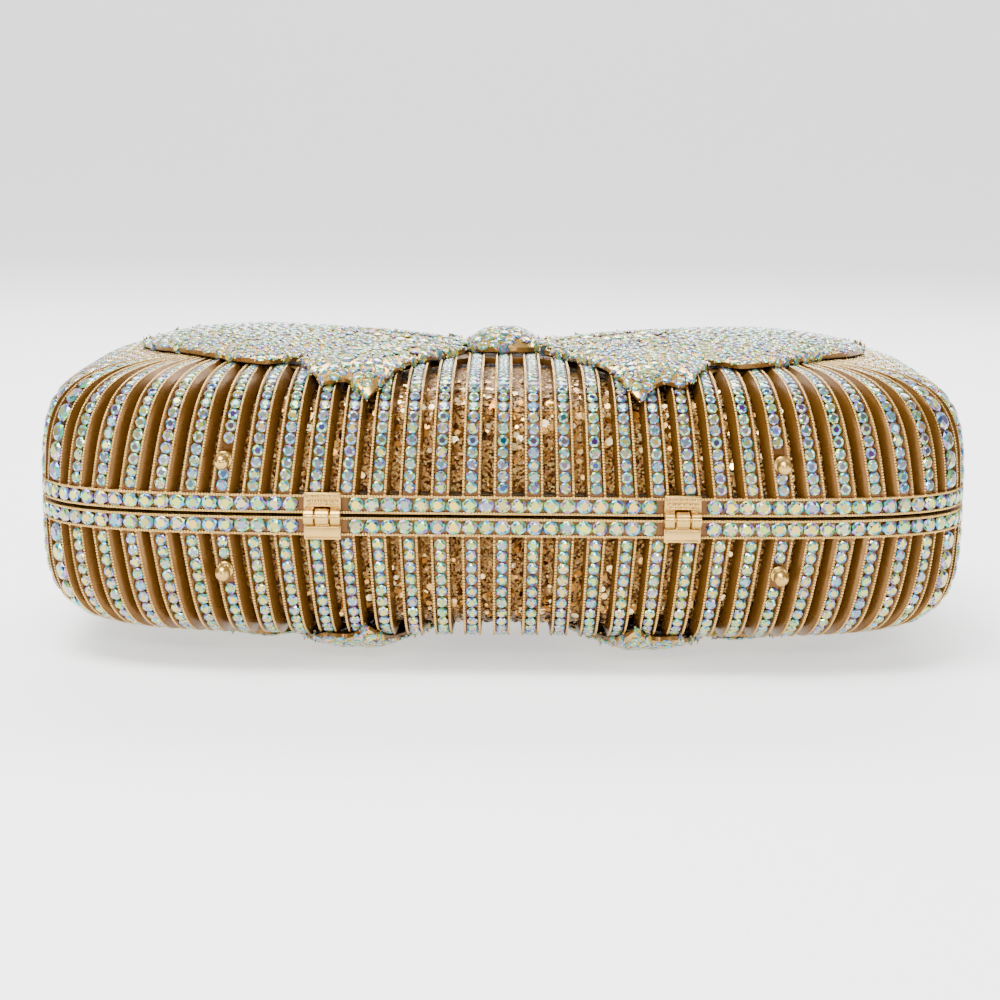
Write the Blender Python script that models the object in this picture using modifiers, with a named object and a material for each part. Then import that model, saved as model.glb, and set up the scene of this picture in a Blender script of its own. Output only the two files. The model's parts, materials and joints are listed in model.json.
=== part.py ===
"""Hard-case evening bag: two openwork cast halves hinged along one long side.

The bag lies on its back. +Z is up, towards the front half; -Y is the hinge side, which
carries four ball feet; +Y is the clasp side. The origin is at the bottom centre.
Heights called "rise" are measured from the parting plane, outwards, in either half.
"""

import math

import bmesh
import bpy
from mathutils import Matrix, Vector

MM = 0.001

# ---- the case ---------------------------------------------------------------------------
CASE_LENGTH = 201 * MM          # along X, over the cast halves
CASE_WIDTH = 116 * MM           # along Y, hinge side to clasp side
HALF_DEPTH = 28.7 * MM          # parting plane to the crown of one half
BOW_STAND = 5.8 * MM            # how far the bow's flat crest stands above the crown
PLAN_POWER = 5.0                # squareness of the plan outline
EDGE_POWER = 6.0                # squareness of the rounded edge between long wall and face
END_POWER = 4.0                 # the same at the short ends, which are rounder
SPINE_SHARE = 0.62              # the ribs run towards a spine of this share of the length
PARTING_GAP = 0.8 * MM          # between the two cast halves when shut

# ---- the cast openwork ------------------------------------------------------------------
CAST_WALL = 1.8 * MM
RIM_BAND = 3.8 * MM             # height of the solid band at the mouth
RIB_PITCH = 6.55 * MM           # long sides
RIB_FAN = 0.08                  # share of its X by which a rib draws in on its way to the crown
RIB_WIDTH = 3.8 * MM
RIBS_EACH_WAY = 14              # ribs either side of the middle one, on a long side
SIDE_RIBS = 11                  # wide ribs on each short side
SIDE_RIB_WIDTH = 6.2 * MM
RIB_STEPS = 5
FLANGE = 5 * MM                 # ledge under the bow that the ribs end on
RIB_TUCK = 1.5 * MM             # how far a rib runs on beneath the bow
END_STEP = 0.12                 # most by which neighbouring ribs' ends differ, as a share of Y

# ---- what lines the cast halves ---------------------------------------------------------
SEAT_GAP = 0.8 * MM             # clearance between nested shells
FRAME_WALL = 1.1 * MM
FRAME_HEIGHT = 3.6 * MM
BACKING_WALL = 1.2 * MM
LINING_WALL = 0.8 * MM
SHELL_COLUMNS = 44
SHELL_ROWS = 8

# ---- the bow ----------------------------------------------------------------------------
BOW_GAP = 0.5 * MM              # solder line between the bow and the ribs
LOOP_PUFF = 6.6 * MM
TAIL_PUFF = 2.4 * MM
KNOT_PUFF = 6.7 * MM
KNOT_HALF = (8.0 * MM, 10.5 * MM)
# Right-hand outlines seen from the front; the left ones are their mirror images.
LOOP_OUTLINE = [(10.2, -10.3), (26.6, -32.4), (43.9, -54.3), (50.2, -63.8), (59.1, -53.4),
                (69, -32.8), (76.8, -19), (81.8, 5.2), (75.9, 41.4), (60.1, 62.1), (35.5, 46.6),
                (10.2, 13.8)]
TAIL_OUTLINE = [(8.9, -20.7), (25.6, -37.9), (42, -59), (41, -72.4), (37.4, -87.9), (32.7, -86.2),
                (27.6, -94.1), (24.2, -84.5), (19.7, -62.1), (13.4, -39.7)]
BOW_RINGS = 8
LOOP_HEART = (51.2, 3.4)
TAIL_HEART = (27.6, -56.9)

# ---- hinges -----------------------------------------------------------------------------
HINGE_SPACING = 74 * MM
HINGE_REACH = 2.0 * MM          # from the case wall out to the hinge axis
KNUCKLE_RADIUS = 1.7 * MM
PIN_RADIUS = 0.5 * MM
PIN_CLEARANCE = 0.1 * MM
OUTER_KNUCKLE = 2.1 * MM
MIDDLE_KNUCKLE = 2.8 * MM
KNUCKLE_GAP = 0.3 * MM
LEAF_HEIGHT = 4.9 * MM
LEAF_WALL = 0.9 * MM
LEAF_GAP = 0.3 * MM
ROUND_SIDES = 16

# ---- feet -------------------------------------------------------------------------------
STAND_OFF = 6.0 * MM            # feet and thumb stone reach this far out from the walls
FOOT_BALL = 1.6 * MM
FOOT_STEM = 0.9 * MM
FOOT_FLANGE = 1.8 * MM
FOOT_FLANGE_WALL = 0.8 * MM
FOOT_FLAT = 0.6 * MM            # radius of the worn flat on each ball
FOOT_RIB = 9                    # the rib, counted from the middle, that carries a foot
FOOT_RISE = 11.5 * MM

# ---- clasp ------------------------------------------------------------------------------
CLASP_WIDTH = 14 * MM
CLASP_PLATE = 0.7 * MM
CLASP_GAP = 0.3 * MM
EAR_WALL = 1.1 * MM
PIVOT_RISE = 4.2 * MM
PIVOT_REACH = 2.5 * MM          # from the case wall out to the lever's axis
HUB_RADIUS = 1.25 * MM
LEVER_WALL = 0.8 * MM
THUMB_TOP = 13.5 * MM
HOOK_DEPTH = 4.6 * MM           # how far the hook hangs below the parting plane
STONE_STAND = 1.3 * MM
SPRING_WIRE = 0.2 * MM
SPRING_TURNS = 3

# ---- chain eyes -------------------------------------------------------------------------
EYE_STATION = 0.207 * CASE_WIDTH  # along Y, towards the clasp side
EYE_DEPTH = 4.5 * MM            # eye hole below the parting plane
EYE_REACH = 2.2 * MM            # eye hole in from the lining
EYE_GAP = 0.7 * MM               # between the lug and the lining
RING_WIRE = 0.6 * MM
RING_RADIUS = 5.0 * MM

PART_Z = HALF_DEPTH + BOW_STAND
HALF_LENGTH = CASE_LENGTH / 2
HALF_WIDTH = CASE_WIDTH / 2
FRONT, BACK = 1, -1


# ========================================================================================
# Blender helpers
# ========================================================================================
def clear_scene():
    for obj in list(bpy.data.objects):
        bpy.data.objects.remove(obj)
    for name in ("evening_bag", "cutters"):
        group = bpy.data.collections.new(name)
        bpy.context.scene.collection.children.link(group)
    bpy.data.collections["cutters"].hide_render = True


def finish_material(name, colour, metallic, roughness):
    material = bpy.data.materials.get(name)
    if material is None:
        material = bpy.data.materials.new(name)
        material.use_nodes = True
        shader = material.node_tree.nodes["Principled BSDF"]
        shader.inputs["Base Color"].default_value = (*colour, 1)
        shader.inputs["Metallic"].default_value = metallic
        shader.inputs["Roughness"].default_value = roughness
    return material


def gold():
    return finish_material("rose_gold_plate", (0.86, 0.60, 0.34), 1.0, 0.25)


def glitter():
    return finish_material("gold_glitter_cloth", (0.55, 0.33, 0.12), 0.6, 0.45)


def pave():
    return finish_material("crystal_pave", (0.72, 0.80, 0.80), 0.3, 0.15)


def lining_cloth():
    return finish_material("champagne_lining", (0.78, 0.63, 0.40), 0.2, 0.5)


def spring_steel():
    return finish_material("spring_steel", (0.6, 0.6, 0.62), 1.0, 0.3)


def place(name, mesh, material, group="evening_bag"):
    obj = bpy.data.objects.new(name, mesh)
    mesh.materials.append(material)
    bpy.data.collections[group].objects.link(obj)
    return obj


def mesh_from(name, bm):
    mesh = bpy.data.meshes.new(name)
    bm.to_mesh(mesh)
    bm.free()
    mesh.shade_smooth()
    mesh.set_sharp_from_angle(angle=math.radians(35))
    return mesh


def mapped_grid(columns, rows, where, drop=None):
    """A grid primitive rolled into a ring: `where(column, row)` places each corner.

    The last column is welded to the first. `drop(column, row)` says which cells are open.
    """
    bm = bmesh.new()
    bmesh.ops.create_grid(bm, x_segments=columns, y_segments=rows, size=1)

    def cell(co, snap):
        return snap((co.x + 1) / 2 * columns), snap((co.y + 1) / 2 * rows)

    open_cells = [f for f in bm.faces if drop and drop(*cell(f.calc_center_median(), math.floor))]
    spots = {v: cell(v.co, round) for v in bm.verts}
    for vert, (column, row) in spots.items():
        vert.co = where(column % columns, row)
    bmesh.ops.delete(bm, geom=open_cells, context="FACES")
    bmesh.ops.remove_doubles(bm, verts=bm.verts, dist=0.01 * MM)
    return bm


def solidify(obj, wall):
    """Gives an open surface its wall, inwards from the faces' own side."""
    modifier = obj.modifiers.new("wall", "SOLIDIFY")
    modifier.thickness = wall
    modifier.offset = -1
    return obj


def box(name, low, high, material, group="evening_bag"):
    bm = bmesh.new()
    bmesh.ops.create_cube(bm, size=1)
    low, high = Vector(low), Vector(high)
    size = high - low
    for vert in bm.verts:
        vert.co = low + Vector((vert.co[i] + 0.5) * size[i] for i in range(3))
    return place(name, mesh_from(name, bm), material, group)


def rod(name, centre, axis, length, radius, material, group="evening_bag"):
    """A cylinder about `axis`, centred on `centre`."""
    bm = bmesh.new()
    turn = Vector((0, 0, 1)).rotation_difference(Vector(axis)).to_matrix().to_4x4()
    bmesh.ops.create_cone(bm, cap_ends=True, segments=ROUND_SIDES, radius1=radius,
                          radius2=radius, depth=length,
                          matrix=Matrix.Translation(Vector(centre)) @ turn)
    return place(name, mesh_from(name, bm), material, group)


def combine(target, other, operation):
    """Joins or cuts `target` by `other`, which then counts as a cutter."""
    modifier = target.modifiers.new(operation.lower(), "BOOLEAN")
    modifier.operation = operation
    modifier.object = other
    for group in list(other.users_collection):
        group.objects.unlink(other)
    bpy.data.collections["cutters"].objects.link(other)
    other.hide_render = True
    other.display_type = "WIRE"
    return target


def turned(name, profile, centre, axis, material):
    """A profile of (radius, height) from the top down, screwed about `axis`."""
    bm = bmesh.new()
    verts = [bm.verts.new((radius, 0, height)) for radius, height in profile]
    for first, second in zip(verts, verts[1:]):
        bm.edges.new((first, second))
    obj = place(name, mesh_from(name, bm), material)
    screw = obj.modifiers.new("turn", "SCREW")
    screw.steps = screw.render_steps = 10
    screw.use_merge_vertices = True
    screw.merge_threshold = 0.01 * MM
    obj.location = centre
    obj.rotation_mode = "QUATERNION"
    obj.rotation_quaternion = Vector((0, 0, 1)).rotation_difference(Vector(axis))
    return obj


# ========================================================================================
# The form of the case
# ========================================================================================
def outline(angle, inset=0.0):
    """Point of the plan outline at a polar angle."""
    half_x, half_y = HALF_LENGTH - inset, HALF_WIDTH - inset
    reach = (abs(math.cos(angle) / half_x) ** PLAN_POWER
             + abs(math.sin(angle) / half_y) ** PLAN_POWER) ** (-1 / PLAN_POWER)
    return reach * math.cos(angle), reach * math.sin(angle)


def angles_at(distances):
    """Polar angles of points at these distances along the outline, from the hinge side's middle."""
    steps = 4000
    angle, run, found = -math.pi / 2, 0.0, []
    x, y = outline(angle)
    waiting = sorted(distances)
    for step in range(1, steps + 1):
        following = -math.pi / 2 + 2 * math.pi * step / steps
        next_x, next_y = outline(following)
        piece = math.hypot(next_x - x, next_y - y)
        while waiting and waiting[0] <= run + piece:
            found.append(angle + (following - angle) * (waiting.pop(0) - run) / piece)
        angle, run, x, y = following, run + piece, next_x, next_y
    return found


def outline_length():
    steps = 4000
    points = [outline(2 * math.pi * i / steps) for i in range(steps)]
    return sum(math.dist(a, b) for a, b in zip(points, points[1:] + points[:1]))


def spread(keep):
    """How much of its X the case keeps where it keeps this share of its Y."""
    risen = (1 - keep ** EDGE_POWER) ** (1 / EDGE_POWER)
    end_keep = (1 - risen ** END_POWER) ** (1 / END_POWER)
    return SPINE_SHARE + (1 - SPINE_SHARE) * end_keep


def keep_at(lean):
    """Share of its Y that the case keeps at a lean."""
    return math.cos(lean) ** (2 / EDGE_POWER) if lean < math.pi / 2 else 0.0


def fanned(angle, lean):
    """Polar angle, at a lean, of the line that leaves the mouth at a polar angle."""
    risen = math.sin(lean) ** (2 / EDGE_POWER)
    drawn_in = (1 - RIB_FAN * risen) / spread(keep_at(lean))
    return math.atan2(math.sin(angle), math.cos(angle) * drawn_in)


def case_point(angle, lean, inset=0.0):
    """Point of the case at a polar angle; `lean` runs from 0 at the mouth to 90 degrees at the spine."""
    x, y = outline(angle, inset)
    keep = keep_at(lean)
    rise = (HALF_DEPTH - inset) * math.sin(lean) ** (2 / EDGE_POWER)
    return Vector((x * spread(keep), y * keep, rise))


def lean_at_rise(rise, inset=0.0):
    return math.asin(min(1.0, rise / (HALF_DEPTH - inset)) ** (EDGE_POWER / 2))


def lean_at_keep(keep):
    return math.acos(max(0.0, min(1.0, keep)) ** (EDGE_POWER / 2))


def crown_rise(x, y, inset=0.0):
    """Rise of the case over a point of its plan."""
    half_x, half_y = HALF_LENGTH - inset, HALF_WIDTH - inset

    def outside(keep):
        return (abs(x / (spread(keep) * half_x)) ** PLAN_POWER
                + abs(y / (keep * half_y)) ** PLAN_POWER) > 1

    low, high = 1e-4, 1.0
    for _ in range(30):
        middle = (low + high) / 2
        low, high = (middle, high) if outside(middle) else (low, middle)
    return (HALF_DEPTH - inset) * (1 - min(1.0, high) ** EDGE_POWER) ** (1 / EDGE_POWER)


def above_case(x, y, lift):
    """Point that stands `lift` off the case, square to it, over a point of its plan."""
    step = 0.2 * MM
    slope_x = (crown_rise(x + step, y) - crown_rise(x - step, y)) / (2 * step)
    slope_y = (crown_rise(x, y + step) - crown_rise(x, y - step)) / (2 * step)
    square = Vector((-slope_x, -slope_y, 1)).normalized()
    return Vector((x, y, crown_rise(x, y))) + square * lift


def in_half(point, half):
    """A point given by its rise, put in the front or the back half."""
    return Vector((point[0], point[1], PART_Z + half * point[2]))


def turn_out(bm, half):
    """Sets the faces outwards: the back half is the front's mirror image."""
    bmesh.ops.recalc_face_normals(bm, faces=bm.faces)
    top = max(bm.faces, key=lambda f: half * f.calc_center_median().z)
    if half * top.normal.z < 0:
        bmesh.ops.reverse_faces(bm, faces=bm.faces)


# ========================================================================================
# The bow's outlines
# ========================================================================================
def smooth_point(points, share):
    """Point of a closed, gently rounded curve through `points`, at a share of its round."""
    position = share * len(points)
    index, t = int(position) % len(points), position % 1
    before, start, end, after = (Vector(points[(index + i) % len(points)]) for i in (-1, 0, 1, 2))
    pull = 0.35
    out, back = (end - before) * pull, (after - start) * pull
    return (start * (2 * t**3 - 3 * t**2 + 1) + out * (t**3 - 2 * t**2 + t)
            + end * (3 * t**2 - 2 * t**3) + back * (t**3 - t**2))


def mirrored(points, hand):
    """Points given as shares of the case's half length and width, for one hand."""
    return [(hand * x * HALF_LENGTH / 100, y * HALF_WIDTH / 100) for x, y in points]


def knot_outline():
    """A rounded rectangle as a squared circle."""
    return [(KNOT_HALF[0] * math.copysign(abs(math.cos(a)) ** 0.5, math.cos(a)),
             KNOT_HALF[1] * math.copysign(abs(math.sin(a)) ** 0.5, math.sin(a)))
            for a in (math.pi * (i + 0.5) / 8 for i in range(16))]


def bow_shapes():
    """name: (outline, heart, puff) of each piece of a bow."""
    shapes = {"bow_knot": (knot_outline(), (0, 0), KNOT_PUFF)}
    for side, hand in (("left", -1), ("right", 1)):
        shapes[f"bow_{side}_loop"] = (mirrored(LOOP_OUTLINE, hand),
                                      mirrored([LOOP_HEART], hand)[0], LOOP_PUFF)
        shapes[f"bow_{side}_tail"] = (mirrored(TAIL_OUTLINE, hand),
                                      mirrored([TAIL_HEART], hand)[0], TAIL_PUFF)
    return shapes


def inside(point, polygon):
    x, y = point
    crossings = False
    for (x1, y1), (x2, y2) in zip(polygon, polygon[1:] + polygon[:1]):
        if (y1 > y) != (y2 > y) and x < (x2 - x1) * (y - y1) / (y2 - y1) + x1:
            crossings = not crossings
    return crossings


def under_bow(point, polygons):
    return any(inside(point, polygon) for polygon in polygons)


# ========================================================================================
# Cast halves
# ========================================================================================
def rib_stations():
    """Polar angles of every rib's two edges and middle, from the hinge side's middle round."""
    length = outline_length()
    long_side = [(i * RIB_PITCH) % length for i in range(-RIBS_EACH_WAY, RIBS_EACH_WAY + 1)]
    clasp_side = [(d + length / 2) % length for d in long_side]
    end = (RIBS_EACH_WAY + 0.5) * RIB_PITCH
    side_pitch = (length / 2 - 2 * end) / SIDE_RIBS
    right_side = [end + (i + 0.5) * side_pitch for i in range(SIDE_RIBS)]
    left_side = [d + length / 2 for d in right_side]
    widths = {d: RIB_WIDTH for d in long_side + clasp_side}
    widths.update({d: SIDE_RIB_WIDTH for d in right_side + left_side})
    ribs = [[(d + share * widths[d]) % length for share in (-0.5, 0.5, 0)] for d in sorted(widths)]
    distances = sorted(distance for rib in ribs for distance in rib)
    angle_of = dict(zip(distances, angles_at(distances)))
    return [[angle_of[distance] for distance in rib] for rib in ribs]


def rib_end_keep(angle, polygons):
    """Share of its Y that a rib keeps where it has run in beneath the bow, and its ledge's."""
    x, y = outline(angle)
    run = math.hypot(y, x * (1 - SPINE_SHARE))
    keep = 1.0
    while keep > 0.12:
        point = case_point(fanned(angle, lean_at_keep(keep)), lean_at_keep(keep))
        if under_bow((point.x, point.y), polygons):
            break
        keep -= 0.005
    return max(0.12, keep - RIB_TUCK / run), FLANGE / run


def rib_ends(stations, polygons):
    """(keep, ledge) of each rib's end; hidden ends run on so that neighbours end close together."""
    ends = [rib_end_keep(middle, polygons) for _, _, middle in stations]
    keeps = [keep for keep, _ in ends]
    for _ in keeps:
        keeps = [min(keep, keeps[i - 1] + END_STEP, keeps[(i + 1) % len(keeps)] + END_STEP)
                 for i, keep in enumerate(keeps)]
    return [(keep, ledge) for keep, (_, ledge) in zip(keeps, ends)]


def make_casting(name, half, polygons):
    stations = rib_stations()
    mouth, band_top = (lean_at_rise(PARTING_GAP / 2), lean_at_rise(PARTING_GAP / 2 + RIM_BAND))
    ladders = []
    for keep, flange in rib_ends(stations, polygons):
        end = lean_at_keep(keep)
        steps = [band_top + (end - band_top) * i / RIB_STEPS for i in range(RIB_STEPS + 1)]
        ladders.append([mouth, *steps, lean_at_keep(max(0.04, keep - flange))])

    def where(column, row):
        lean = ladders[column // 2][row]
        return in_half(case_point(fanned(stations[column // 2][column % 2], lean), lean), half)

    def is_slot(column, row):
        return column % 2 == 1 and 1 <= row <= RIB_STEPS

    bm = mapped_grid(2 * len(stations), RIB_STEPS + 2, where, is_slot)
    turn_out(bm, half)
    return solidify(place(name, mesh_from(name, bm), gold()), CAST_WALL)


def make_shell(name, half, inset, first_rise, last_rise, wall, material):
    """A plain shell nested in a cast half; with no `last_rise` it closes over the crown."""
    first = lean_at_rise(first_rise, inset)
    last = math.pi / 2 if last_rise is None else lean_at_rise(last_rise, inset)
    rows = SHELL_ROWS if last_rise is None else 1

    def where(column, row):
        angle = -math.pi / 2 + 2 * math.pi * column / SHELL_COLUMNS
        lean = first + (last - first) * row / rows
        return in_half(case_point(angle, lean, inset), half)

    bm = mapped_grid(SHELL_COLUMNS, rows, where)
    if last_rise is None:
        turn_out(bm, half)
    else:
        bmesh.ops.recalc_face_normals(bm, faces=bm.faces)
        wall_face = min(bm.faces, key=lambda f: f.calc_center_median().y)
        if wall_face.normal.y > 0:
            bmesh.ops.reverse_faces(bm, faces=bm.faces)
    return solidify(place(name, mesh_from(name, bm), material), wall)


def make_bow_piece(name, half, polygon, heart, puff):
    """A pillowed plate: a sphere primitive pressed onto the case inside its outline."""
    bm = bmesh.new()
    around = 2 * len(polygon) if len(polygon) < 16 else len(polygon)
    bmesh.ops.create_uvsphere(bm, u_segments=around, v_segments=BOW_RINGS, radius=1)
    heart = Vector(heart)
    for vert in bm.verts:
        share = (math.atan2(vert.co.y, vert.co.x) / (2 * math.pi)) % 1
        reach = min(1.0, math.hypot(vert.co.x, vert.co.y))
        spot = heart + (smooth_point(polygon, share) - heart) * reach
        lift = BOW_GAP
        if vert.co.z > 0:
            lift += min(1.6 * (1 - reach**2), 1) * puff + 0.5 * MM
        point = above_case(spot.x, spot.y, lift)
        point.z = min(point.z, HALF_DEPTH + BOW_STAND)
        vert.co = in_half(point, half)
    turn_out(bm, half)
    return place(name, mesh_from(name, bm), pave())


def make_foot(name, half, hand):
    lean = lean_at_rise(FOOT_RISE)
    x = case_point(fanned(angles_at([FOOT_RIB * RIB_PITCH])[0], lean), lean).x
    ball_height = STAND_OFF - FOOT_BALL
    flat_height = STAND_OFF
    profile = [(0, flat_height), (FOOT_FLAT, flat_height)]
    start = math.atan2(FOOT_FLAT, FOOT_BALL)
    end = math.pi - math.asin(FOOT_STEM / FOOT_BALL)
    for i in range(1, 6):
        tilt = start + (end - start) * i / 5
        profile.append((FOOT_BALL * math.sin(tilt), ball_height + FOOT_BALL * math.cos(tilt)))
    foot_top = CLASP_GAP + FOOT_FLANGE_WALL
    profile += [(FOOT_STEM, foot_top), (FOOT_FLANGE, foot_top), (FOOT_FLANGE, CLASP_GAP),
                (0, CLASP_GAP)]
    centre = (hand * x, -HALF_WIDTH, PART_Z + half * FOOT_RISE)
    return turned(name, profile, centre, (0, -1, 0), gold())


# ========================================================================================
# Hinges
# ========================================================================================
def make_hinge_leaf(name, half, x, knuckles):
    """A plate on the rim band with tubes round the hinge axis: (start, end) along X each."""
    axis_y = -HALF_WIDTH - HINGE_REACH
    width = 2 * OUTER_KNUCKLE + MIDDLE_KNUCKLE + 2 * KNUCKLE_GAP
    plate_out = -HALF_WIDTH - LEAF_GAP - LEAF_WALL
    rises = sorted((KNUCKLE_RADIUS + 0.2 * MM, LEAF_HEIGHT))
    z = sorted(PART_Z + half * rise for rise in rises)
    leaf = box(name, (x - width / 2, plate_out, z[0]),
               (x + width / 2, -HALF_WIDTH - LEAF_GAP, z[1]), gold())
    for start, end in knuckles:
        middle = x + (start + end) / 2
        tube = rod("knuckle", (middle, axis_y, PART_Z), (1, 0, 0), end - start,
                   KNUCKLE_RADIUS, gold(), "cutters")
        combine(leaf, tube, "UNION")
        neck_z = sorted((PART_Z, PART_Z + half * (KNUCKLE_RADIUS + 0.7 * MM)))
        neck = box("neck", (x + start, plate_out + 0.05 * MM, neck_z[0]),
                   (x + end, -HALF_WIDTH - LEAF_GAP - 0.05 * MM, neck_z[1]), gold(), "cutters")
        combine(leaf, neck, "UNION")
    bore = rod("pin_bore", (x, axis_y, PART_Z), (1, 0, 0), 2 * width,
               PIN_RADIUS + PIN_CLEARANCE, gold(), "cutters")
    return combine(leaf, bore, "DIFFERENCE")


def make_hinge(side, hand):
    x = hand * HINGE_SPACING / 2
    half_middle = MIDDLE_KNUCKLE / 2
    outer = half_middle + KNUCKLE_GAP
    make_hinge_leaf(f"hinge_{side}_back_leaf", BACK, x, [(-half_middle, half_middle)])
    make_hinge_leaf(f"hinge_{side}_front_leaf", FRONT, x,
                    [(-outer - OUTER_KNUCKLE, -outer), (outer, outer + OUTER_KNUCKLE)])
    rod(f"hinge_{side}_pin", (x, -HALF_WIDTH - HINGE_REACH, PART_Z), (1, 0, 0),
        2 * (outer + OUTER_KNUCKLE) - 0.2 * MM, PIN_RADIUS, gold())


# ========================================================================================
# Clasp
# ========================================================================================
def make_clasp():
    wall = HALF_WIDTH + CLASP_GAP
    pivot = Vector((0, HALF_WIDTH + PIVOT_REACH, PART_Z + PIVOT_RISE))
    half_width = CLASP_WIDTH / 2
    ear_in = half_width - EAR_WALL
    lever_half = ear_in - 0.4 * MM

    bracket = box("clasp_bracket", (-half_width, wall, PART_Z + 1.2 * MM),
                  (half_width, wall + CLASP_PLATE, PART_Z + 7.6 * MM), gold())
    for hand in (-1, 1):
        inner, outer = sorted((hand * ear_in, hand * half_width))
        ear = box("ear", (inner, wall + 0.1 * MM, pivot.z - 1.3 * MM),
                  (outer, pivot.y + 1.3 * MM, pivot.z + 1.3 * MM), gold(), "cutters")
        combine(bracket, ear, "UNION")
    eye = rod("ear_bore", pivot, (1, 0, 0), 2 * CLASP_WIDTH, PIN_RADIUS + PIN_CLEARANCE,
              gold(), "cutters")
    combine(bracket, eye, "DIFFERENCE")

    rod("clasp_pin", pivot, (1, 0, 0), CLASP_WIDTH, PIN_RADIUS, gold())

    pad_in = pivot.y + HUB_RADIUS - 0.15 * MM
    lever = box("clasp_lever", (-lever_half, pad_in, PART_Z - HOOK_DEPTH),
                (lever_half, pad_in + LEVER_WALL, PART_Z + THUMB_TOP), gold())
    for hand in (-1, 1):
        hub = rod("hub", pivot + Vector((hand * (lever_half - 1.3 * MM), 0, 0)), (1, 0, 0),
                  2.6 * MM, HUB_RADIUS, gold(), "cutters")
        combine(lever, hub, "UNION")
    nose_in = wall + 1.05 * MM
    nose = box("nose", (-lever_half + 1 * MM, nose_in, PART_Z - HOOK_DEPTH + 0.05 * MM),
               (lever_half - 1 * MM, pad_in + 0.3 * MM, PART_Z - HOOK_DEPTH + 1.5 * MM),
               gold(), "cutters")
    combine(lever, nose, "UNION")
    lever_bore = rod("lever_bore", pivot, (1, 0, 0), 2 * CLASP_WIDTH,
                     PIN_RADIUS + PIN_CLEARANCE, gold(), "cutters")
    combine(lever, lever_bore, "DIFFERENCE")

    stone_base = pad_in + LEVER_WALL + CLASP_GAP - HALF_WIDTH
    stone_radius = 3.2 * MM
    turned("clasp_stone",
           [(0, STAND_OFF), (0.55 * stone_radius, STAND_OFF),
            (stone_radius, stone_base + 0.35 * STONE_STAND), (0.92 * stone_radius, stone_base),
            (0, stone_base)],
           (0, HALF_WIDTH, PART_Z + THUMB_TOP - stone_radius - 1.1 * MM), (0, 1, 0), pave())

    make_clasp_spring(pivot, 2 * (lever_half - 2.6 * MM) - 0.8 * MM)

    strike = box("clasp_strike", (-lever_half, wall, PART_Z - 5.6 * MM),
                 (lever_half, wall + 0.4 * MM, PART_Z - 1.2 * MM), gold())
    ridge = box("ridge", (-lever_half + 1 * MM, wall + 0.1 * MM, PART_Z - 2.6 * MM),
                (lever_half - 1 * MM, wall + 0.7 * MM, PART_Z - 1.5 * MM), gold(), "cutters")
    combine(strike, ridge, "UNION")


def make_clasp_spring(pivot, length):
    """A torsion spring wound round the clasp pin, between the lever's hubs."""
    radius = PIN_RADIUS + PIN_CLEARANCE + SPRING_WIRE
    per_turn = 10
    curve = bpy.data.curves.new("clasp_spring", "CURVE")
    curve.dimensions = "3D"
    curve.bevel_depth = SPRING_WIRE
    curve.bevel_resolution = 1
    curve.use_fill_caps = True
    spline = curve.splines.new("POLY")
    count = SPRING_TURNS * per_turn + 1
    spline.points.add(count - 1)
    for i in range(count):
        turn = 2 * math.pi * i / per_turn
        x = length * (i / (count - 1) - 0.5) * 0.8
        spline.points[i].co = (x, radius * math.cos(turn), radius * math.sin(turn), 1)
    obj = bpy.data.objects.new("clasp_spring", curve)
    obj.location = pivot
    curve.materials.append(spring_steel())
    bpy.data.collections["evening_bag"].objects.link(obj)


# ========================================================================================
# Chain eyes
# ========================================================================================
def lining_inset():
    """Inset of the lining's outer face."""
    return CAST_WALL + SEAT_GAP + BACKING_WALL + SEAT_GAP


def lining_x(y, rise):
    """X of the lining's inner face, which has flat columns, at a place on the short side."""
    inset = lining_inset() + LINING_WALL
    lean = lean_at_rise(rise, inset)
    columns = [case_point(2 * math.pi * i / SHELL_COLUMNS, lean, inset)
               for i in range(SHELL_COLUMNS // 4 + 1)]
    below, above = next((a, b) for a, b in zip(columns, columns[1:]) if a.y <= y <= b.y)
    return below.x + (above.x - below.x) * (y - below.y) / (above.y - below.y)


def make_chain_eye(side, hand):
    """A lug on the lining, just inside the mouth of the back half, with a hanging D ring."""
    wall_x = lining_x(EYE_STATION + 1.2 * MM, EYE_DEPTH + 1.3 * MM) - EYE_GAP
    z = PART_Z - EYE_DEPTH
    eye_x = wall_x - EYE_REACH
    far, near = sorted((hand * wall_x, hand * (eye_x - 1.2 * MM)))
    lug = box(f"chain_eye_{side}", (far, EYE_STATION - 1.2 * MM, z - 1.3 * MM),
              (near, EYE_STATION + 1.2 * MM, z + 1.3 * MM), gold())
    bore = rod("eye_bore", (hand * eye_x, EYE_STATION, z), (0, 1, 0), 10 * MM,
               RING_WIRE + PIN_CLEARANCE, gold(), "cutters")
    combine(lug, bore, "DIFFERENCE")
    make_ring(f"chain_ring_{side}", (hand * eye_x, EYE_STATION, z))


def make_ring(name, centre):
    """A D of round wire: its straight bar runs through the eye along Y."""
    curve = bpy.data.curves.new(name, "CURVE")
    curve.dimensions = "3D"
    curve.bevel_depth = RING_WIRE
    curve.bevel_resolution = 2
    spline = curve.splines.new("POLY")
    corner = 0.8 * MM
    points = [(-RING_RADIUS + corner, 0), (0, 0), (RING_RADIUS - corner, 0), (RING_RADIUS, -corner)]
    for i in range(1, 10):
        turn = -math.pi * i / 10
        points.append((RING_RADIUS * math.cos(turn), -corner - 0.8 * MM + RING_RADIUS * math.sin(turn)))
    points.append((-RING_RADIUS, -corner))
    spline.points.add(len(points) - 1)
    for point, (y, z) in zip(spline.points, points):
        point.co = (0, y, z, 1)
    spline.use_cyclic_u = True
    obj = bpy.data.objects.new(name, curve)
    obj.location = centre
    curve.materials.append(gold())
    bpy.data.collections["evening_bag"].objects.link(obj)


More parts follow.
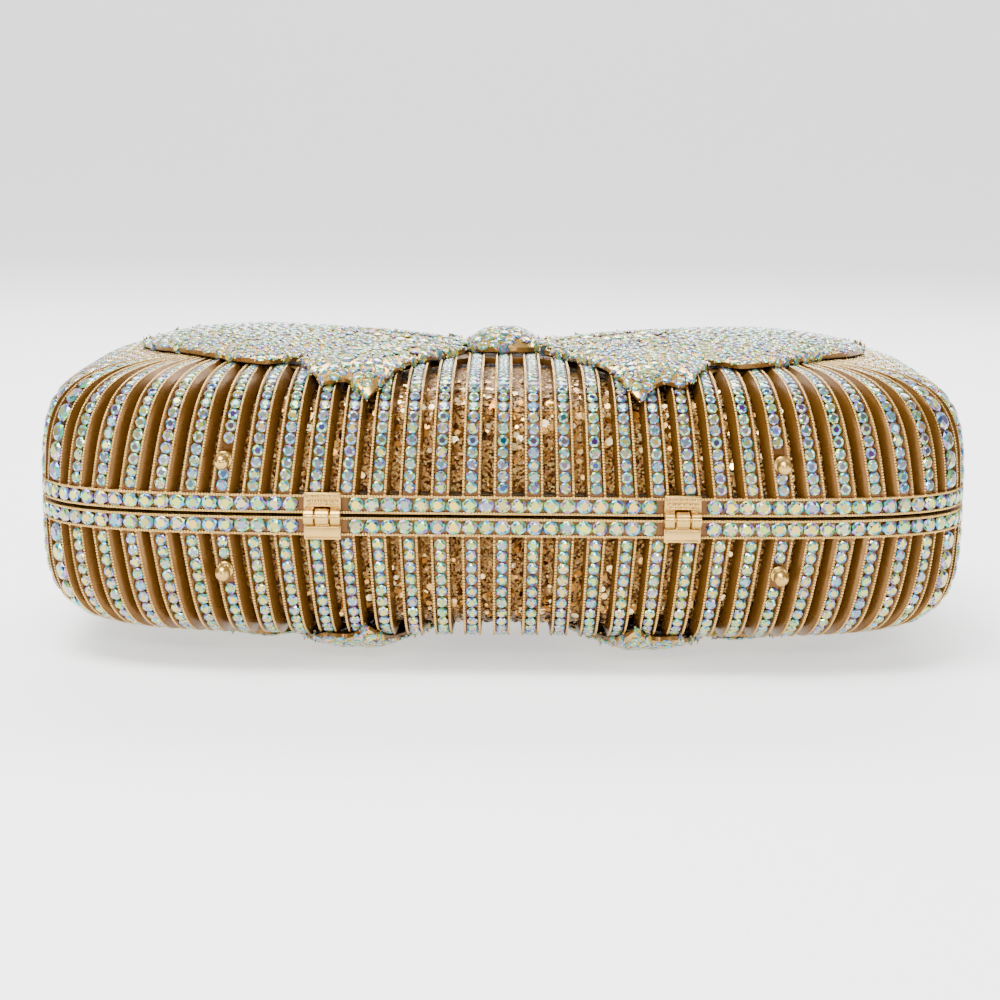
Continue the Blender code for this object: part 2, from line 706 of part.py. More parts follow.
# ========================================================================================
# Assembly
# ========================================================================================
def make_half(label, half):
    shapes = bow_shapes()
    polygons = [
        [tuple(smooth_point(points, i / 60)) for i in range(60)] for points, _, _ in shapes.values()
    ]
    make_casting(f"{label}_casting", half, polygons)
    frame_inset = CAST_WALL + SEAT_GAP
    edge = PARTING_GAP / 2
    make_shell(f"{label}_rim_frame", half, frame_inset, edge, edge + FRAME_HEIGHT,
               FRAME_WALL, gold())
    make_shell(f"{label}_glitter_backing", half, frame_inset,
               edge + FRAME_HEIGHT + SEAT_GAP, None, BACKING_WALL, glitter())
    make_shell(f"{label}_lining", half, lining_inset(), edge + 0.4 * MM, None, LINING_WALL,
               lining_cloth())
    for name, (points, heart, puff) in shapes.items():
        make_bow_piece(f"{label}_{name}", half, points, heart, puff)
    for side, hand in (("left", -1), ("right", 1)):
        make_foot(f"{label}_foot_{side}", half, hand)


def main():
    clear_scene()
    make_half("front", FRONT)
    make_half("back", BACK)
    for side, hand in (("left", -1), ("right", 1)):
        make_hinge(side, hand)
        make_chain_eye(side, hand)
    make_clasp()


main()
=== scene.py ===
"""Looks of a hard-case evening bag: crystal-set cast ribs, paved bows, glitter backing.

The bag lies on its back bow. "Rise" is the height off the parting plane in either half,
"lean" runs from 0 at the mouth to a quarter turn at the spine, and "keep" is the share of
its Y that a rib still has at a lean.
"""

import json
import logging
import math
from collections.abc import Sequence
from dataclasses import dataclass, field
from enum import Enum

import bmesh
import bpy
import numpy as np
from mathutils import Euler, Matrix, Vector


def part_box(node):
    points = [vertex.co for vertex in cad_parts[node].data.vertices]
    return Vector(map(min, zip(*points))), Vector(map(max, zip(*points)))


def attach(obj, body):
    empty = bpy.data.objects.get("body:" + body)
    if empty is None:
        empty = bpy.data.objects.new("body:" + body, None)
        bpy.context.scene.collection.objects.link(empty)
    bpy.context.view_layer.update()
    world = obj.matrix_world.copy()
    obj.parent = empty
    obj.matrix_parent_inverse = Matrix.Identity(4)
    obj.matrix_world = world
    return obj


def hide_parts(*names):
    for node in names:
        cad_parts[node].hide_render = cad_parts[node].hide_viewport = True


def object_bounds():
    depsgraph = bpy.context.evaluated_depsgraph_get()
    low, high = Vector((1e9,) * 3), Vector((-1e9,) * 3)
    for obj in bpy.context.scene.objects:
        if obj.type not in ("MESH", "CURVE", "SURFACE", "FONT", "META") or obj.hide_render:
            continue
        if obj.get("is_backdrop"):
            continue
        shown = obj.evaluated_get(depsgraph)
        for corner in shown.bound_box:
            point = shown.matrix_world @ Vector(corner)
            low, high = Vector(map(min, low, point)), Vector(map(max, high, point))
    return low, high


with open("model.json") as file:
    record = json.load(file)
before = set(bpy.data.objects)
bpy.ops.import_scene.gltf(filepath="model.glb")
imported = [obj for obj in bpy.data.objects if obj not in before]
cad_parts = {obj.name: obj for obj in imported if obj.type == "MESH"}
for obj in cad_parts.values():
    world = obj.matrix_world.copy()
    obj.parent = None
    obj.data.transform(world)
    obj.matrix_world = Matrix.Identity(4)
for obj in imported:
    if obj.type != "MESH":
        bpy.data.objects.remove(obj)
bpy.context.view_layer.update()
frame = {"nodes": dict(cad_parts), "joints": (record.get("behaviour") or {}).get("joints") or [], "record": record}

LOG = logging.getLogger("evening_bag")
MM = 0.001
QUARTER = math.pi / 2
TIP = 0.02 * MM  # radius at which a turned body closes
Array = np.ndarray


# ========================================================================================
# Node trees
# ========================================================================================
class Wire:
    """A node's output socket, on which arithmetic adds Math nodes."""

    def __init__(self, tree: "NodeTree", socket: bpy.types.NodeSocket) -> None:
        """Keeps the socket and the tree that it is in."""
        self.tree = tree
        self.socket = socket

    def _math(self, operation: str, *values: object) -> "Wire":
        """Adds one Math node on these values, in their order."""
        return self.tree.add("ShaderNodeMath", {"operation": operation}, dict(enumerate(values)))

    def __add__(self, other: object) -> "Wire":
        """self + other."""
        return self._math("ADD", self, other)

    __radd__ = __add__

    def __mul__(self, other: object) -> "Wire":
        """self * other."""
        return self._math("MULTIPLY", self, other)

    __rmul__ = __mul__

    def __sub__(self, other: object) -> "Wire":
        """self - other."""
        return self._math("SUBTRACT", self, other)

    def __rtruediv__(self, other: object) -> "Wire":
        """other / self."""
        return self._math("DIVIDE", other, self)

    def fract(self) -> "Wire":
        """The part after the decimal point."""
        return self._math("FRACT", self)

    def at_least(self, low: float) -> "Wire":
        """The larger of self and low."""
        return self._math("MAXIMUM", self, low)


class NodeTree:
    """Adds nodes to a shader or geometry tree and links them."""

    def __init__(self, tree: bpy.types.NodeTree) -> None:
        """Keeps the tree."""
        self.tree = tree

    def add(
        self,
        kind: str,
        settings: dict[str, object] | None = None,
        inputs: dict[object, object] | None = None,
        output: object = 0,
    ) -> Wire:
        """Adds a node, sets it up, links its inputs and returns one output.

        Args:
            kind: the node's type.
            settings: the node's own properties; "stops" fills a colour ramp.
            inputs: socket name or index to a Wire or a value.
            output: name or index of the output to return.

        Returns:
            The chosen output.
        """
        node = self.tree.nodes.new(kind)
        for name, value in (settings or {}).items():
            if name == "stops":
                self._fill_ramp(node.color_ramp, value)
            else:
                setattr(node, name, value)
        for key, value in (inputs or {}).items():
            self._feed(self._socket(node.inputs, key), value)
        return Wire(self, self._socket(node.outputs, output))

    def _socket(self, sockets: object, key: object) -> bpy.types.NodeSocket:
        """The socket at an index, or the first enabled one of a name."""
        if isinstance(key, int):
            return sockets[key]
        return next(s for s in sockets if s.name == key and s.enabled)

    def _feed(self, socket: bpy.types.NodeSocket, value: object) -> None:
        """Links a Wire, or sets a value."""
        if isinstance(value, Wire):
            self.tree.links.new(value.socket, socket)
        elif hasattr(socket.default_value, "__len__") and not hasattr(value, "__len__"):
            socket.default_value = [value] * len(socket.default_value)
        elif socket.type == "RGBA" and len(value) == 3:
            socket.default_value = (*value, 1)
        else:
            socket.default_value = value

    def _fill_ramp(self, ramp: bpy.types.ColorRamp, stops: Sequence[tuple]) -> None:
        """Gives a ramp these (place, colour) stops."""
        while len(ramp.elements) < len(stops):
            ramp.elements.new(1.0)
        for element, (place, colour) in zip(ramp.elements, stops):
            element.position = place
            element.color = (*colour, 1)

    def link_out(self, node: bpy.types.Node, name: str, wire: Wire) -> None:
        """Links a wire to a named input of a node that is already there."""
        self.tree.links.new(wire.socket, node.inputs[name])

    def attribute(self, name: str) -> Wire:
        """A number that the mesh carries, in a shader."""
        return self.add("ShaderNodeAttribute", {"attribute_name": name}, output="Fac")

    def place(self) -> Wire:
        """The point's place on its object, in a shader."""
        return self.add("ShaderNodeTexCoord", output="Object")

    def noise(self, scale: float, detail: float = 2.0, roughness: float = 0.5) -> Wire:
        """A cloudy number of about 0.5 over the surface."""
        return self.add("ShaderNodeTexNoise", None,
                        {"Vector": self.place(), "Scale": scale, "Detail": detail,
                         "Roughness": roughness}, "Fac")

    def ramp(self, value: Wire, stops: Sequence[tuple]) -> Wire:
        """A colour read off a ramp."""
        return self.add("ShaderNodeValToRGB", {"stops": stops}, {"Fac": value}, "Color")

    def blend(self, share: object, first: object, second: object) -> Wire:
        """A colour mixed of two."""
        return self.add("ShaderNodeMix", {"data_type": "RGBA"},
                        {"Factor": share, "A": first, "B": second}, "Result")

    def spread(self, value: Wire, low: float, high: float) -> Wire:
        """A number from 0 to 1 laid out from low to high."""
        return value * (high - low) + low

    def bump(self, height: Wire, strength: float, distance: float) -> Wire:
        """A normal raised by a height."""
        return self.add("ShaderNodeBump", None,
                        {"Strength": strength, "Distance": distance, "Height": height}, "Normal")


# ========================================================================================
# Finishes
# ========================================================================================
Colour = tuple[float, float, float]


class Finish:
    """A surface finish, made into a material once and then shared."""

    name: str = "finish"

    def material(self) -> bpy.types.Material:
        """The material of this finish."""
        found = bpy.data.materials.get(self.name)
        if found:
            return found
        made = bpy.data.materials.new(self.name)
        made.use_nodes = True
        tree = NodeTree(made.node_tree)
        shader = made.node_tree.nodes["Principled BSDF"]
        self.fill(tree, shader)
        return made

    def fill(self, tree: NodeTree, shader: bpy.types.Node) -> None:
        """Sets the shader and adds what feeds it."""
        raise NotImplementedError


@dataclass(frozen=True)
class GoldPlate(Finish):
    """Polished light gold plate, rubbed a little duller and redder in patches."""

    name: str = "light_gold_plate"
    bright: Colour = (0.74, 0.49, 0.155)
    worn: Colour = (0.46, 0.25, 0.055)
    # painted shade and tarnish: the brown that recesses are blended to, and how metallic they stay
    tarnish: Colour = (0.125, 0.044, 0.002)
    tarnish_metal: float = 0.5
    polish: float = 0.16
    dullest: float = 0.38
    patch_scale: float = 160
    grain_scale: float = 2600

    def fill(self, tree: NodeTree, shader: bpy.types.Node) -> None:
        """Metal whose colour and gloss drift, with fine casting grain; painted shade and tarnish turn it brown and
        less metallic in its recesses.
        """
        # painted shade and tarnish: each point's share of it, set where the mesh is built
        recess = tree.attribute("recess")
        tree.link_out(shader, "Metallic", tree.spread(recess, 1.0, self.tarnish_metal))
        patches = tree.noise(self.patch_scale, 3)
        grain = tree.noise(self.grain_scale, 2)
        plated = tree.blend(patches, self.bright, self.worn)
        tree.link_out(shader, "Base Color", tree.blend(recess, plated, self.tarnish))
        tree.link_out(shader, "Roughness", tree.spread(patches, self.polish, self.dullest))
        tree.link_out(shader, "Normal", tree.bump(grain, 0.25, 0.05 * MM))


@dataclass(frozen=True)
class IrisCrystal(Finish):
    """Foil-backed crystal with an iridescent coat: each facet takes its own pastel."""

    name: str = "iris_crystal"
    foil: float = 0.5
    gloss: float = 0.09
    coat: float = 0.15
    coat_gloss: float = 0.04
    pastels: tuple = (
        (0.00, (0.74, 0.64, 0.12)), (0.14, (0.40, 0.66, 0.10)), (0.28, (0.10, 0.60, 0.34)),
        (0.42, (0.05, 0.50, 0.62)), (0.55, (0.10, 0.28, 0.68)), (0.67, (0.30, 0.16, 0.58)),
        (0.78, (0.56, 0.28, 0.50)), (0.88, (0.62, 0.60, 0.54)), (1.00, (0.74, 0.64, 0.12)))
    # painted light and shade on the tables: a dark palette for shaded tables and a cream one for lit tables
    depths: tuple = (
        (0.00, (0.006, 0.06, 0.10)), (0.22, (0.008, 0.025, 0.13)), (0.42, (0.06, 0.010, 0.11)),
        (0.58, (0.09, 0.07, 0.09)), (0.74, (0.01, 0.09, 0.10)), (0.88, (0.16, 0.19, 0.19)),
        (1.00, (0.09, 0.22, 0.24)))
    creams: tuple = (
        (0.00, (0.70, 0.50, 0.05)), (0.30, (0.60, 0.54, 0.07)), (0.48, (0.32, 0.50, 0.09)),
        (0.64, (0.72, 0.42, 0.06)), (0.80, (0.16, 0.34, 0.36)), (0.90, (0.22, 0.20, 0.30)),
        (1.00, (0.70, 0.50, 0.05)))
    glints: tuple = (
        (0.00, (0.12, 0.12, 0.14)), (0.30, (0.42, 0.43, 0.46)), (0.60, (0.85, 0.87, 0.88)),
        (1.00, (1.00, 1.00, 1.00)))

    def fill(self, tree: NodeTree, shader: bpy.types.Node) -> None:
        """Hues by facet; tables cream in the open rows and teal to violet in the shaded ones."""
        shader.inputs["Metallic"].default_value = self.foil
        shader.inputs["Roughness"].default_value = self.gloss
        shader.inputs["Coat Weight"].default_value = self.coat
        shader.inputs["Coat Roughness"].default_value = self.coat_gloss
        tint = tree.attribute("tint")
        facet = tree.attribute("facet")
        hue = tree.ramp((tint + facet * 0.62).fract(), self.pastels)
        glint = tree.ramp((tint * 5.3 + facet * 3.1).fract(), self.glints)
        lit = tree.add("ShaderNodeMix", {"data_type": "RGBA", "blend_type": "MULTIPLY"},
                       {"Factor": 1.0, "A": hue, "B": glint}, "Result")
        pick = (tint * 3.7).fract()
        # painted light and shade: each stone's number mixes the lit cream palette with the shaded dark one
        table = tree.blend(tree.attribute("deep"), tree.ramp(pick, self.creams),
                           tree.ramp(pick, self.depths))
        tree.link_out(shader, "Base Color", tree.blend(tree.attribute("table"), lit, table))


@dataclass(frozen=True)
class GlitterCloth(Finish):
    """Cloth under coarse gold glitter: each grain is a tiny mirror of its own tilt."""

    name: str = "gold_glitter_cloth"
    grain: float = 0.42 * MM
    metal: float = 0.45
    golds: tuple = (
        (0.00, (0.05, 0.015, 0.002)), (0.40, (0.17, 0.062, 0.009)), (0.68, (0.36, 0.155, 0.025)),
        (0.86, (0.70, 0.40, 0.09)), (1.00, (1.00, 0.78, 0.34)))

    def fill(self, tree: NodeTree, shader: bpy.types.Node) -> None:
        """Cells with their own gold, gloss and tilt."""
        shader.inputs["Metallic"].default_value = self.metal
        place = tree.place()
        cells = {"Vector": place, "Scale": 1 / self.grain}
        cell = tree.add("ShaderNodeTexVoronoi", None, cells, "Color")
        centre = tree.add("ShaderNodeTexVoronoi", None, cells, "Position")
        split = [tree.add("ShaderNodeSeparateColor", None, {"Color": cell}, i) for i in range(3)]
        lean = tree.add("ShaderNodeVectorMath", {"operation": "SUBTRACT"},
                        {0: cell, 1: (0.5, 0.5, 0.5)}, "Vector")
        inside = tree.add("ShaderNodeVectorMath", {"operation": "SUBTRACT"},
                          {0: place, 1: centre}, "Vector")
        tilt = tree.add("ShaderNodeVectorMath", {"operation": "DOT_PRODUCT"},
                        {0: lean, 1: inside}, "Value")
        tree.link_out(shader, "Base Color", tree.ramp(split[0], self.golds))
        tree.link_out(shader, "Roughness", tree.spread(split[1], 0.18, 0.5))
        tree.link_out(shader, "Normal", tree.bump(tilt, 1.0, 1.6))


@dataclass(frozen=True)
class FlakeFoil(Finish):
    """Hexagonal foil flakes in champagne, gold and copper."""

    name: str = "foil_flakes"
    foils: tuple = (
        (0.00, (0.14, 0.045, 0.006)), (0.35, (0.34, 0.14, 0.025)), (0.65, (0.62, 0.34, 0.09)),
        (0.85, (0.82, 0.58, 0.24)), (1.00, (0.96, 0.80, 0.46)))

    def fill(self, tree: NodeTree, shader: bpy.types.Node) -> None:
        """One foil colour a flake, lightly crumpled."""
        shader.inputs["Metallic"].default_value = 1.0
        tint = tree.attribute("tint")
        tree.link_out(shader, "Base Color", tree.ramp(tint, self.foils))
        tree.link_out(shader, "Roughness", tree.spread((tint * 7.3).fract(), 0.12, 0.42))
        tree.link_out(shader, "Normal", tree.bump(tree.noise(1500), 0.2, 0.1 * MM))


@dataclass(frozen=True)
class LiningCloth(Finish):
    """Champagne metallic cloth with a fine plain weave."""

    name: str = "champagne_cloth"
    thread: float = 0.35 * MM
    light: Colour = (0.80, 0.66, 0.44)
    dark: Colour = (0.56, 0.42, 0.24)

    def fill(self, tree: NodeTree, shader: bpy.types.Node) -> None:
        """Two crossed wave patterns for the weave, with soft wear."""
        shader.inputs["Metallic"].default_value = 0.35
        shader.inputs["Sheen Weight"].default_value = 0.4
        threads = []
        for direction in ("X", "Y"):
            threads.append(tree.add(
                "ShaderNodeTexWave", {"bands_direction": direction},
                {"Vector": tree.place(), "Scale": 0.314 / self.thread, "Distortion": 0.4}, "Fac"))
        weave = threads[0] * threads[1]
        tree.link_out(shader, "Base Color",
                      tree.blend(weave * 0.7 + tree.noise(60) * 0.3, self.dark, self.light))
        tree.link_out(shader, "Roughness", tree.spread(weave, 0.6, 0.4))
        tree.link_out(shader, "Normal", tree.bump(weave, 0.4, 0.1 * MM))


@dataclass(frozen=True)
class SpringWire(Finish):
    """Bright drawn spring wire."""

    name: str = "bright_spring_wire"
    steel: Colour = (0.66, 0.66, 0.68)
    smoke: Colour = (0.45, 0.44, 0.44)

    def fill(self, tree: NodeTree, shader: bpy.types.Node) -> None:
        """Steel with faint draw marks."""
        shader.inputs["Metallic"].default_value = 1.0
        marks = tree.noise(900, 4)
        tree.link_out(shader, "Base Color", tree.blend(marks, self.steel, self.smoke))
        tree.link_out(shader, "Roughness", tree.spread(marks, 0.2, 0.45))


@dataclass(frozen=True)
class StudioPaper(Finish):
    """The plain pale floor."""

    name: str = "studio_paper"
    pale: Colour = (0.95, 0.95, 0.95)
    shade: Colour = (0.93, 0.93, 0.93)
    glow: float = 0.9

    def fill(self, tree: NodeTree, shader: bpy.types.Node) -> None:
        """Matt paper with the faintest mottle."""
        paper = tree.blend(tree.noise(4), self.pale, self.shade)
        tree.link_out(shader, "Base Color", paper)
        tree.link_out(shader, "Emission Color", paper)
        shader.inputs["Emission Strength"].default_value = self.glow
        shader.inputs["Roughness"].default_value = 0.85


GOLD = GoldPlate()
CRYSTAL = IrisCrystal()
GLITTER = GlitterCloth()
FOIL = FlakeFoil()
LINING = LiningCloth()
STEEL = SpringWire()


# ========================================================================================
# Form of the case
# ========================================================================================
class Half(Enum):
    """The two halves of the case, by the way they face."""

    FRONT = 1
    BACK = -1

    @property
    def label(self) -> str:
        """The half's name, as the frame's nodes have it."""
        return self.name.lower()

    @property
    def body(self) -> str:
        """The body that the half's pieces ride on."""
        return f"{self.label}_shell"


@dataclass(frozen=True)
class CaseForm:
    """The rounded box that both halves follow."""

    half_length: float
    half_width: float
    parting: float
    half_depth: float = 28.7 * MM
    bow_stand: float = 5.8 * MM
    plan_power: float = 5.0
    edge_power: float = 6.0
    end_power: float = 4.0
    spine_share: float = 0.62
    rib_fan: float = 0.08
    outline_steps: int = 8001

    @classmethod
    def from_frame(cls) -> "CaseForm":
        """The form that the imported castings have."""
        _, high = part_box("front_casting")
        _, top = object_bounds()
        return cls(float(high[0]), float(high[1]), float(top[2]) / 2)

    def outline(self, angle: Array, inset: object = 0.0) -> Array:
        """Plan outline at polar angles.

        Args:
            angle: polar angles.
            inset: distance in from the case's own outline.

        Returns:
            Points of two coordinates.
        """
        half_x, half_y = self.half_length - inset, self.half_width - inset
        power = self.plan_power
        reach = (np.abs(np.cos(angle) / half_x) ** power
                 + np.abs(np.sin(angle) / half_y) ** power) ** (-1 / power)
        return np.stack([reach * np.cos(angle), reach * np.sin(angle)], -1)

    def spread(self, keep: Array) -> Array:
        """Share of its X that the case has where it has this share of its Y."""
        keep = np.clip(keep, 0, 1)
        risen = (1 - keep ** self.edge_power) ** (1 / self.edge_power)
        end_keep = (1 - risen ** self.end_power) ** (1 / self.end_power)
        return self.spine_share + (1 - self.spine_share) * end_keep

    def fanned(self, angle: Array, lean: Array) -> Array:
        """Polar angle, at a lean, of the line that leaves the mouth at a polar angle."""
        risen = np.clip(np.sin(lean), 0, 1) ** (2 / self.edge_power)
        keep = np.clip(np.cos(lean), 0, 1) ** (2 / self.edge_power)
        drawn_in = (1 - self.rib_fan * risen) / self.spread(keep)
        return np.arctan2(np.sin(angle), np.cos(angle) * drawn_in)

    def point(self, angle: Array, lean: Array, inset: object = 0.0) -> Array:
        """Points of the case, with the rise as the third coordinate."""
        angle, lean, inset = np.broadcast_arrays(angle, lean, inset)
        plan = self.outline(angle, inset)
        keep = np.clip(np.cos(lean), 0, 1) ** (2 / self.edge_power)
        rise = (self.half_depth - inset) * np.clip(np.sin(lean), 0, 1) ** (2 / self.edge_power)
        return np.stack([plan[..., 0] * self.spread(keep), plan[..., 1] * keep, rise], -1)

    def square(self, angle: Array, lean: Array, inset: object = 0.0) -> Array:
        """Unit vectors square to the case, outwards."""
        step = 1e-4
        lean = np.clip(lean, 2 * step, QUARTER - 2 * step)
        round_way = self.point(angle + step, lean, inset) - self.point(angle - step, lean, inset)
        up_way = self.point(angle, lean + step, inset) - self.point(angle, lean - step, inset)
        found = np.cross(round_way, up_way)
        return found / np.linalg.norm(found, axis=-1, keepdims=True)

    def lean_at_rise(self, rise: object, inset: float = 0.0) -> Array:
        """The lean at which the case has risen this far."""
        share = np.clip(np.asarray(rise) / (self.half_depth - inset), 0, 1)
        return np.arcsin(share ** (self.edge_power / 2))

    def lean_at_keep(self, keep: object) -> Array:
        """The lean at which a rib keeps this share of its Y."""
        return np.arccos(np.clip(keep, 0, 1) ** (self.edge_power / 2))

    def around(self, distances: Array) -> Array:
        """Polar angles at distances round the outline from the hinge side's middle."""
        angles = -QUARTER + np.linspace(0, 2 * math.pi, self.outline_steps)
        points = self.outline(angles)
        run = np.concatenate([[0], np.cumsum(np.linalg.norm(np.diff(points, axis=0), axis=1))])
        return np.interp(np.mod(distances, run[-1]), run, angles)

    def girth(self) -> float:
        """Length of the outline."""
        points = self.outline(np.linspace(0, 2 * math.pi, self.outline_steps))
        return float(np.linalg.norm(np.diff(points, axis=0), axis=1).sum())

    def crown(self, plan: Array) -> Array:
        """Rise of the case over points of its plan."""
        low, high = np.full(len(plan), 1e-4), np.ones(len(plan))
        x, y = np.abs(plan[:, 0]), np.abs(plan[:, 1])
        for _ in range(30):
            keep = (low + high) / 2
            outside = ((x / (self.spread(keep) * self.half_length)) ** self.plan_power
                       + (y / (keep * self.half_width)) ** self.plan_power) > 1
            low, high = np.where(outside, keep, low), np.where(outside, high, keep)
        return self.half_depth * (1 - np.minimum(1, high) ** self.edge_power) ** (1 / self.edge_power)

    def lifted(self, plan: Array, lift: Array) -> Array:
        """Points that stand off the case, square to it, over points of its plan."""
        step = 0.2 * MM
        slopes = [(self.crown(plan + shift) - self.crown(plan - shift)) / (2 * step)
                  for shift in (np.array([step, 0]), np.array([0, step]))]
        square = np.stack([-slopes[0], -slopes[1], np.ones(len(plan))], -1)
        square /= np.linalg.norm(square, axis=1, keepdims=True)
        return np.column_stack([plan, self.crown(plan)]) + square * lift[:, None]

    def placed(self, points: Array, half: Half) -> Array:
        """Points given by their rise, put where their half is."""
        out = np.array(points, float)
        out[..., 2] = self.parting + half.value * out[..., 2]
        return out

    def turned(self, vectors: Array, half: Half) -> Array:
        """Vectors of the front half's way, turned to a half's."""
        return vectors * np.array([1, 1, half.value])


# ========================================================================================
# Meshes
# ========================================================================================
@dataclass
class MeshDraft:
    """Bodies gathered into one mesh."""

    points: list = field(default_factory=list)
    faces: list = field(default_factory=list)
    recess: list = field(default_factory=list)
    count: int = 0

    def loft(self, rings: Array, closed_path: bool = False, recess: Sequence[float] = ()) -> None:
        """Adds a body through rings of points.

        Args:
            rings: rings by points by three coordinates.
            closed_path: whether the last ring meets the first; otherwise both ends are capped.
            recess: how far each point of a ring lies in the dark, from 0 to 1.
        """
        rows, width, _ = rings.shape
        index = np.arange(rows * width).reshape(rows, width) + self.count
        follow = np.roll(index, -1, axis=0)
        side = np.roll(index, -1, axis=1)
        corner = np.roll(follow, -1, axis=1)
        quads = np.stack([index, side, corner, follow], -1)
        if not closed_path:
            quads = quads[:-1]
            self.faces.append(index[0][::-1].tolist())
            self.faces.append(index[-1].tolist())
        self.faces.extend(quads.reshape(-1, 4).tolist())
        self.points.append(rings.reshape(-1, 3))
        self.recess.append(np.tile(recess if len(recess) else np.zeros(width), rows))
        self.count += rows * width

    def add_bmesh(self, bm: bmesh.types.BMesh) -> None:
        """Adds what a bmesh holds, and frees it."""
        bm.verts.index_update()
        self.faces.extend([[v.index + self.count for v in face.verts] for face in bm.faces])
        self.points.append(np.array([v.co[:] for v in bm.verts]))
        self.recess.append(np.zeros(len(bm.verts)))
        self.count += len(bm.verts)
        bm.free()

    def turned(self, profile: Sequence[tuple], centre: Vector, axis: Vector, sides: int = 32) -> None:
        """Adds a turned body.

        Args:
            profile: (radius, height) pairs from one end to the other.
            centre: where height 0 of the axis is.
            axis: the way the heights run.
            sides: points round each ring.
        """
        turn = Vector((0, 0, 1)).rotation_difference(axis).to_matrix()
        round_way = np.linspace(0, 2 * math.pi, sides, endpoint=False)
        rings = np.array([
            np.stack([r * np.cos(round_way), r * np.sin(round_way), np.full(sides, h)], -1)
            for r, h in profile])
        self.loft(rings @ np.array(turn).T + np.array(centre))

    def slab(self, low: Sequence[float], high: Sequence[float], bevel: float) -> None:
        """Adds a box with rounded edges between two corners."""
        low, high = np.minimum(low, high), np.maximum(low, high)
        bm = bmesh.new()
        bmesh.ops.create_cube(bm, size=1)
        bmesh.ops.scale(bm, vec=(high - low).tolist(), verts=bm.verts)
        bmesh.ops.translate(bm, vec=((low + high) / 2).tolist(), verts=bm.verts)
        bmesh.ops.bevel(bm, geom=bm.edges[:], offset=bevel, segments=3, profile=0.5,
                        affect="EDGES", clamp_overlap=True)
        self.add_bmesh(bm)

    def build(self, name: str, finish: Finish, sharp: float = 40.0) -> bpy.types.Object:
        """Makes the object.

        Args:
            name: the piece's name.
            finish: its finish.
            sharp: edges over this many degrees stay sharp.

        Returns:
            The object, with its faces outwards.
        """
        mesh = bpy.data.meshes.new(name)
        mesh.from_pydata(np.concatenate(self.points).tolist(), [], self.faces)
        bm = bmesh.new()
        bm.from_mesh(mesh)
        bmesh.ops.recalc_face_normals(bm, faces=bm.faces)
        bm.to_mesh(mesh)
        bm.free()
        layer = mesh.attributes.new("recess", "FLOAT", "POINT")
        layer.data.foreach_set("value", np.concatenate(self.recess).astype(np.float32))
        return finished(name, mesh, finish, sharp)


def finished(name: str, mesh: bpy.types.Mesh, finish: Finish, sharp: float = 40.0) -> bpy.types.Object:
    """A linked object of a mesh, shaded and dressed in a finish."""
    mesh.shade_smooth()
    mesh.set_sharp_from_angle(angle=math.radians(sharp))
    mesh.materials.clear()
    mesh.materials.append(finish.material())
    obj = bpy.data.objects.new(name, mesh)
    bpy.context.scene.collection.objects.link(obj)
    return obj


def hand_over(piece: bpy.types.Object, body: str, slot: str, *nodes: str) -> None:
    """Puts a piece on its body, hides the nodes it stands for, and logs it."""
    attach(piece, body)
    if nodes:
        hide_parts(*nodes)
    LOG.info("%s: %d faces on %s", piece.name, len(piece.data.polygons), body)


# ========================================================================================
# Small shapes that are repeated
# ========================================================================================
@dataclass(frozen=True)
class CutStone:
    """A flat-backed stone one unit across: a table, a ring of kites and a ring of halves."""

    sides: int = 8
    table: float = 0.25
    middle: float = 0.40
    heights: tuple[float, float, float] = (0.0, 0.12, 0.175)
    seed: int = 5

    def build(self) -> bpy.types.Object:
        """The stone as an object, with a random number on each facet."""
        bm = bmesh.new()
        turn = math.pi / self.sides
        rings = []
        for radius, height, shift in zip((0.5, self.middle, self.table), self.heights, (0.0, turn, 0.0)):
            rings.append([bm.verts.new((radius * math.cos(2 * turn * i + shift),
                                        radius * math.sin(2 * turn * i + shift), height))
                          for i in range(self.sides)])
        girdle, middle, table = rings
        for i in range(self.sides):
            after = (i + 1) % self.sides
            bm.faces.new((girdle[i], girdle[after], middle[i]))
            bm.faces.new((girdle[after], middle[after], middle[i]))
            bm.faces.new((middle[i], table[after], table[i]))
            bm.faces.new((middle[i], middle[after], table[after]))
        bm.faces.new(table)
        facet = bm.faces.layers.float.new("facet")
        flat = bm.faces.layers.float.new("table")
        draw = np.random.default_rng(self.seed)
        for face in bm.faces:
            face[facet] = draw.random()
            face[flat] = float(len(face.verts) == self.sides)
        return helper_object("cut_stone", bm)


def bead_shape(sides: int = 6, height: float = 0.5) -> bpy.types.Object:
    """A bead one unit across that stands half out of the metal."""
    bm = bmesh.new()
    bmesh.ops.create_cone(bm, cap_ends=False, segments=sides, radius1=0.5, radius2=0.0,
                          depth=height, matrix=Matrix.Translation((0, 0, height / 2)))
    bmesh.ops.remove_doubles(bm, verts=bm.verts, dist=1e-4)
    for face in bm.faces:
        face.smooth = True
    return helper_object("bead", bm)


def claw_shape(reach: float = 0.50, size: float = 0.14) -> bpy.types.Object:
    """Four grains of metal raised at the corners of a stone one unit across."""
    bm = bmesh.new()
    for i in range(4):
        turn = QUARTER * (i + 0.5)
        spot = Matrix.Translation((reach * math.cos(turn) * 1.1, reach * math.sin(turn) * 1.1, 0.06))
        bmesh.ops.create_cone(bm, cap_ends=False, segments=5, radius1=size / 1.6,
                              radius2=size / 4, depth=0.14, matrix=spot)
    for face in bm.faces:
        face.smooth = True
    return helper_object("claws", bm)


def flake_shape() -> bpy.types.Object:
    """A hexagonal flake one unit across."""
    bm = bmesh.new()
    bmesh.ops.create_circle(bm, cap_ends=True, segments=6, radius=0.5)
    return helper_object("flake", bm)


def helper_object(name: str, bm: bmesh.types.BMesh) -> bpy.types.Object:
    """An object that Geometry Nodes copy and that isn't kept."""
    mesh = bpy.data.meshes.new(name)
    bm.to_mesh(mesh)
    bm.free()
    obj = bpy.data.objects.new(name, mesh)
    bpy.context.scene.collection.objects.link(obj)
    return obj


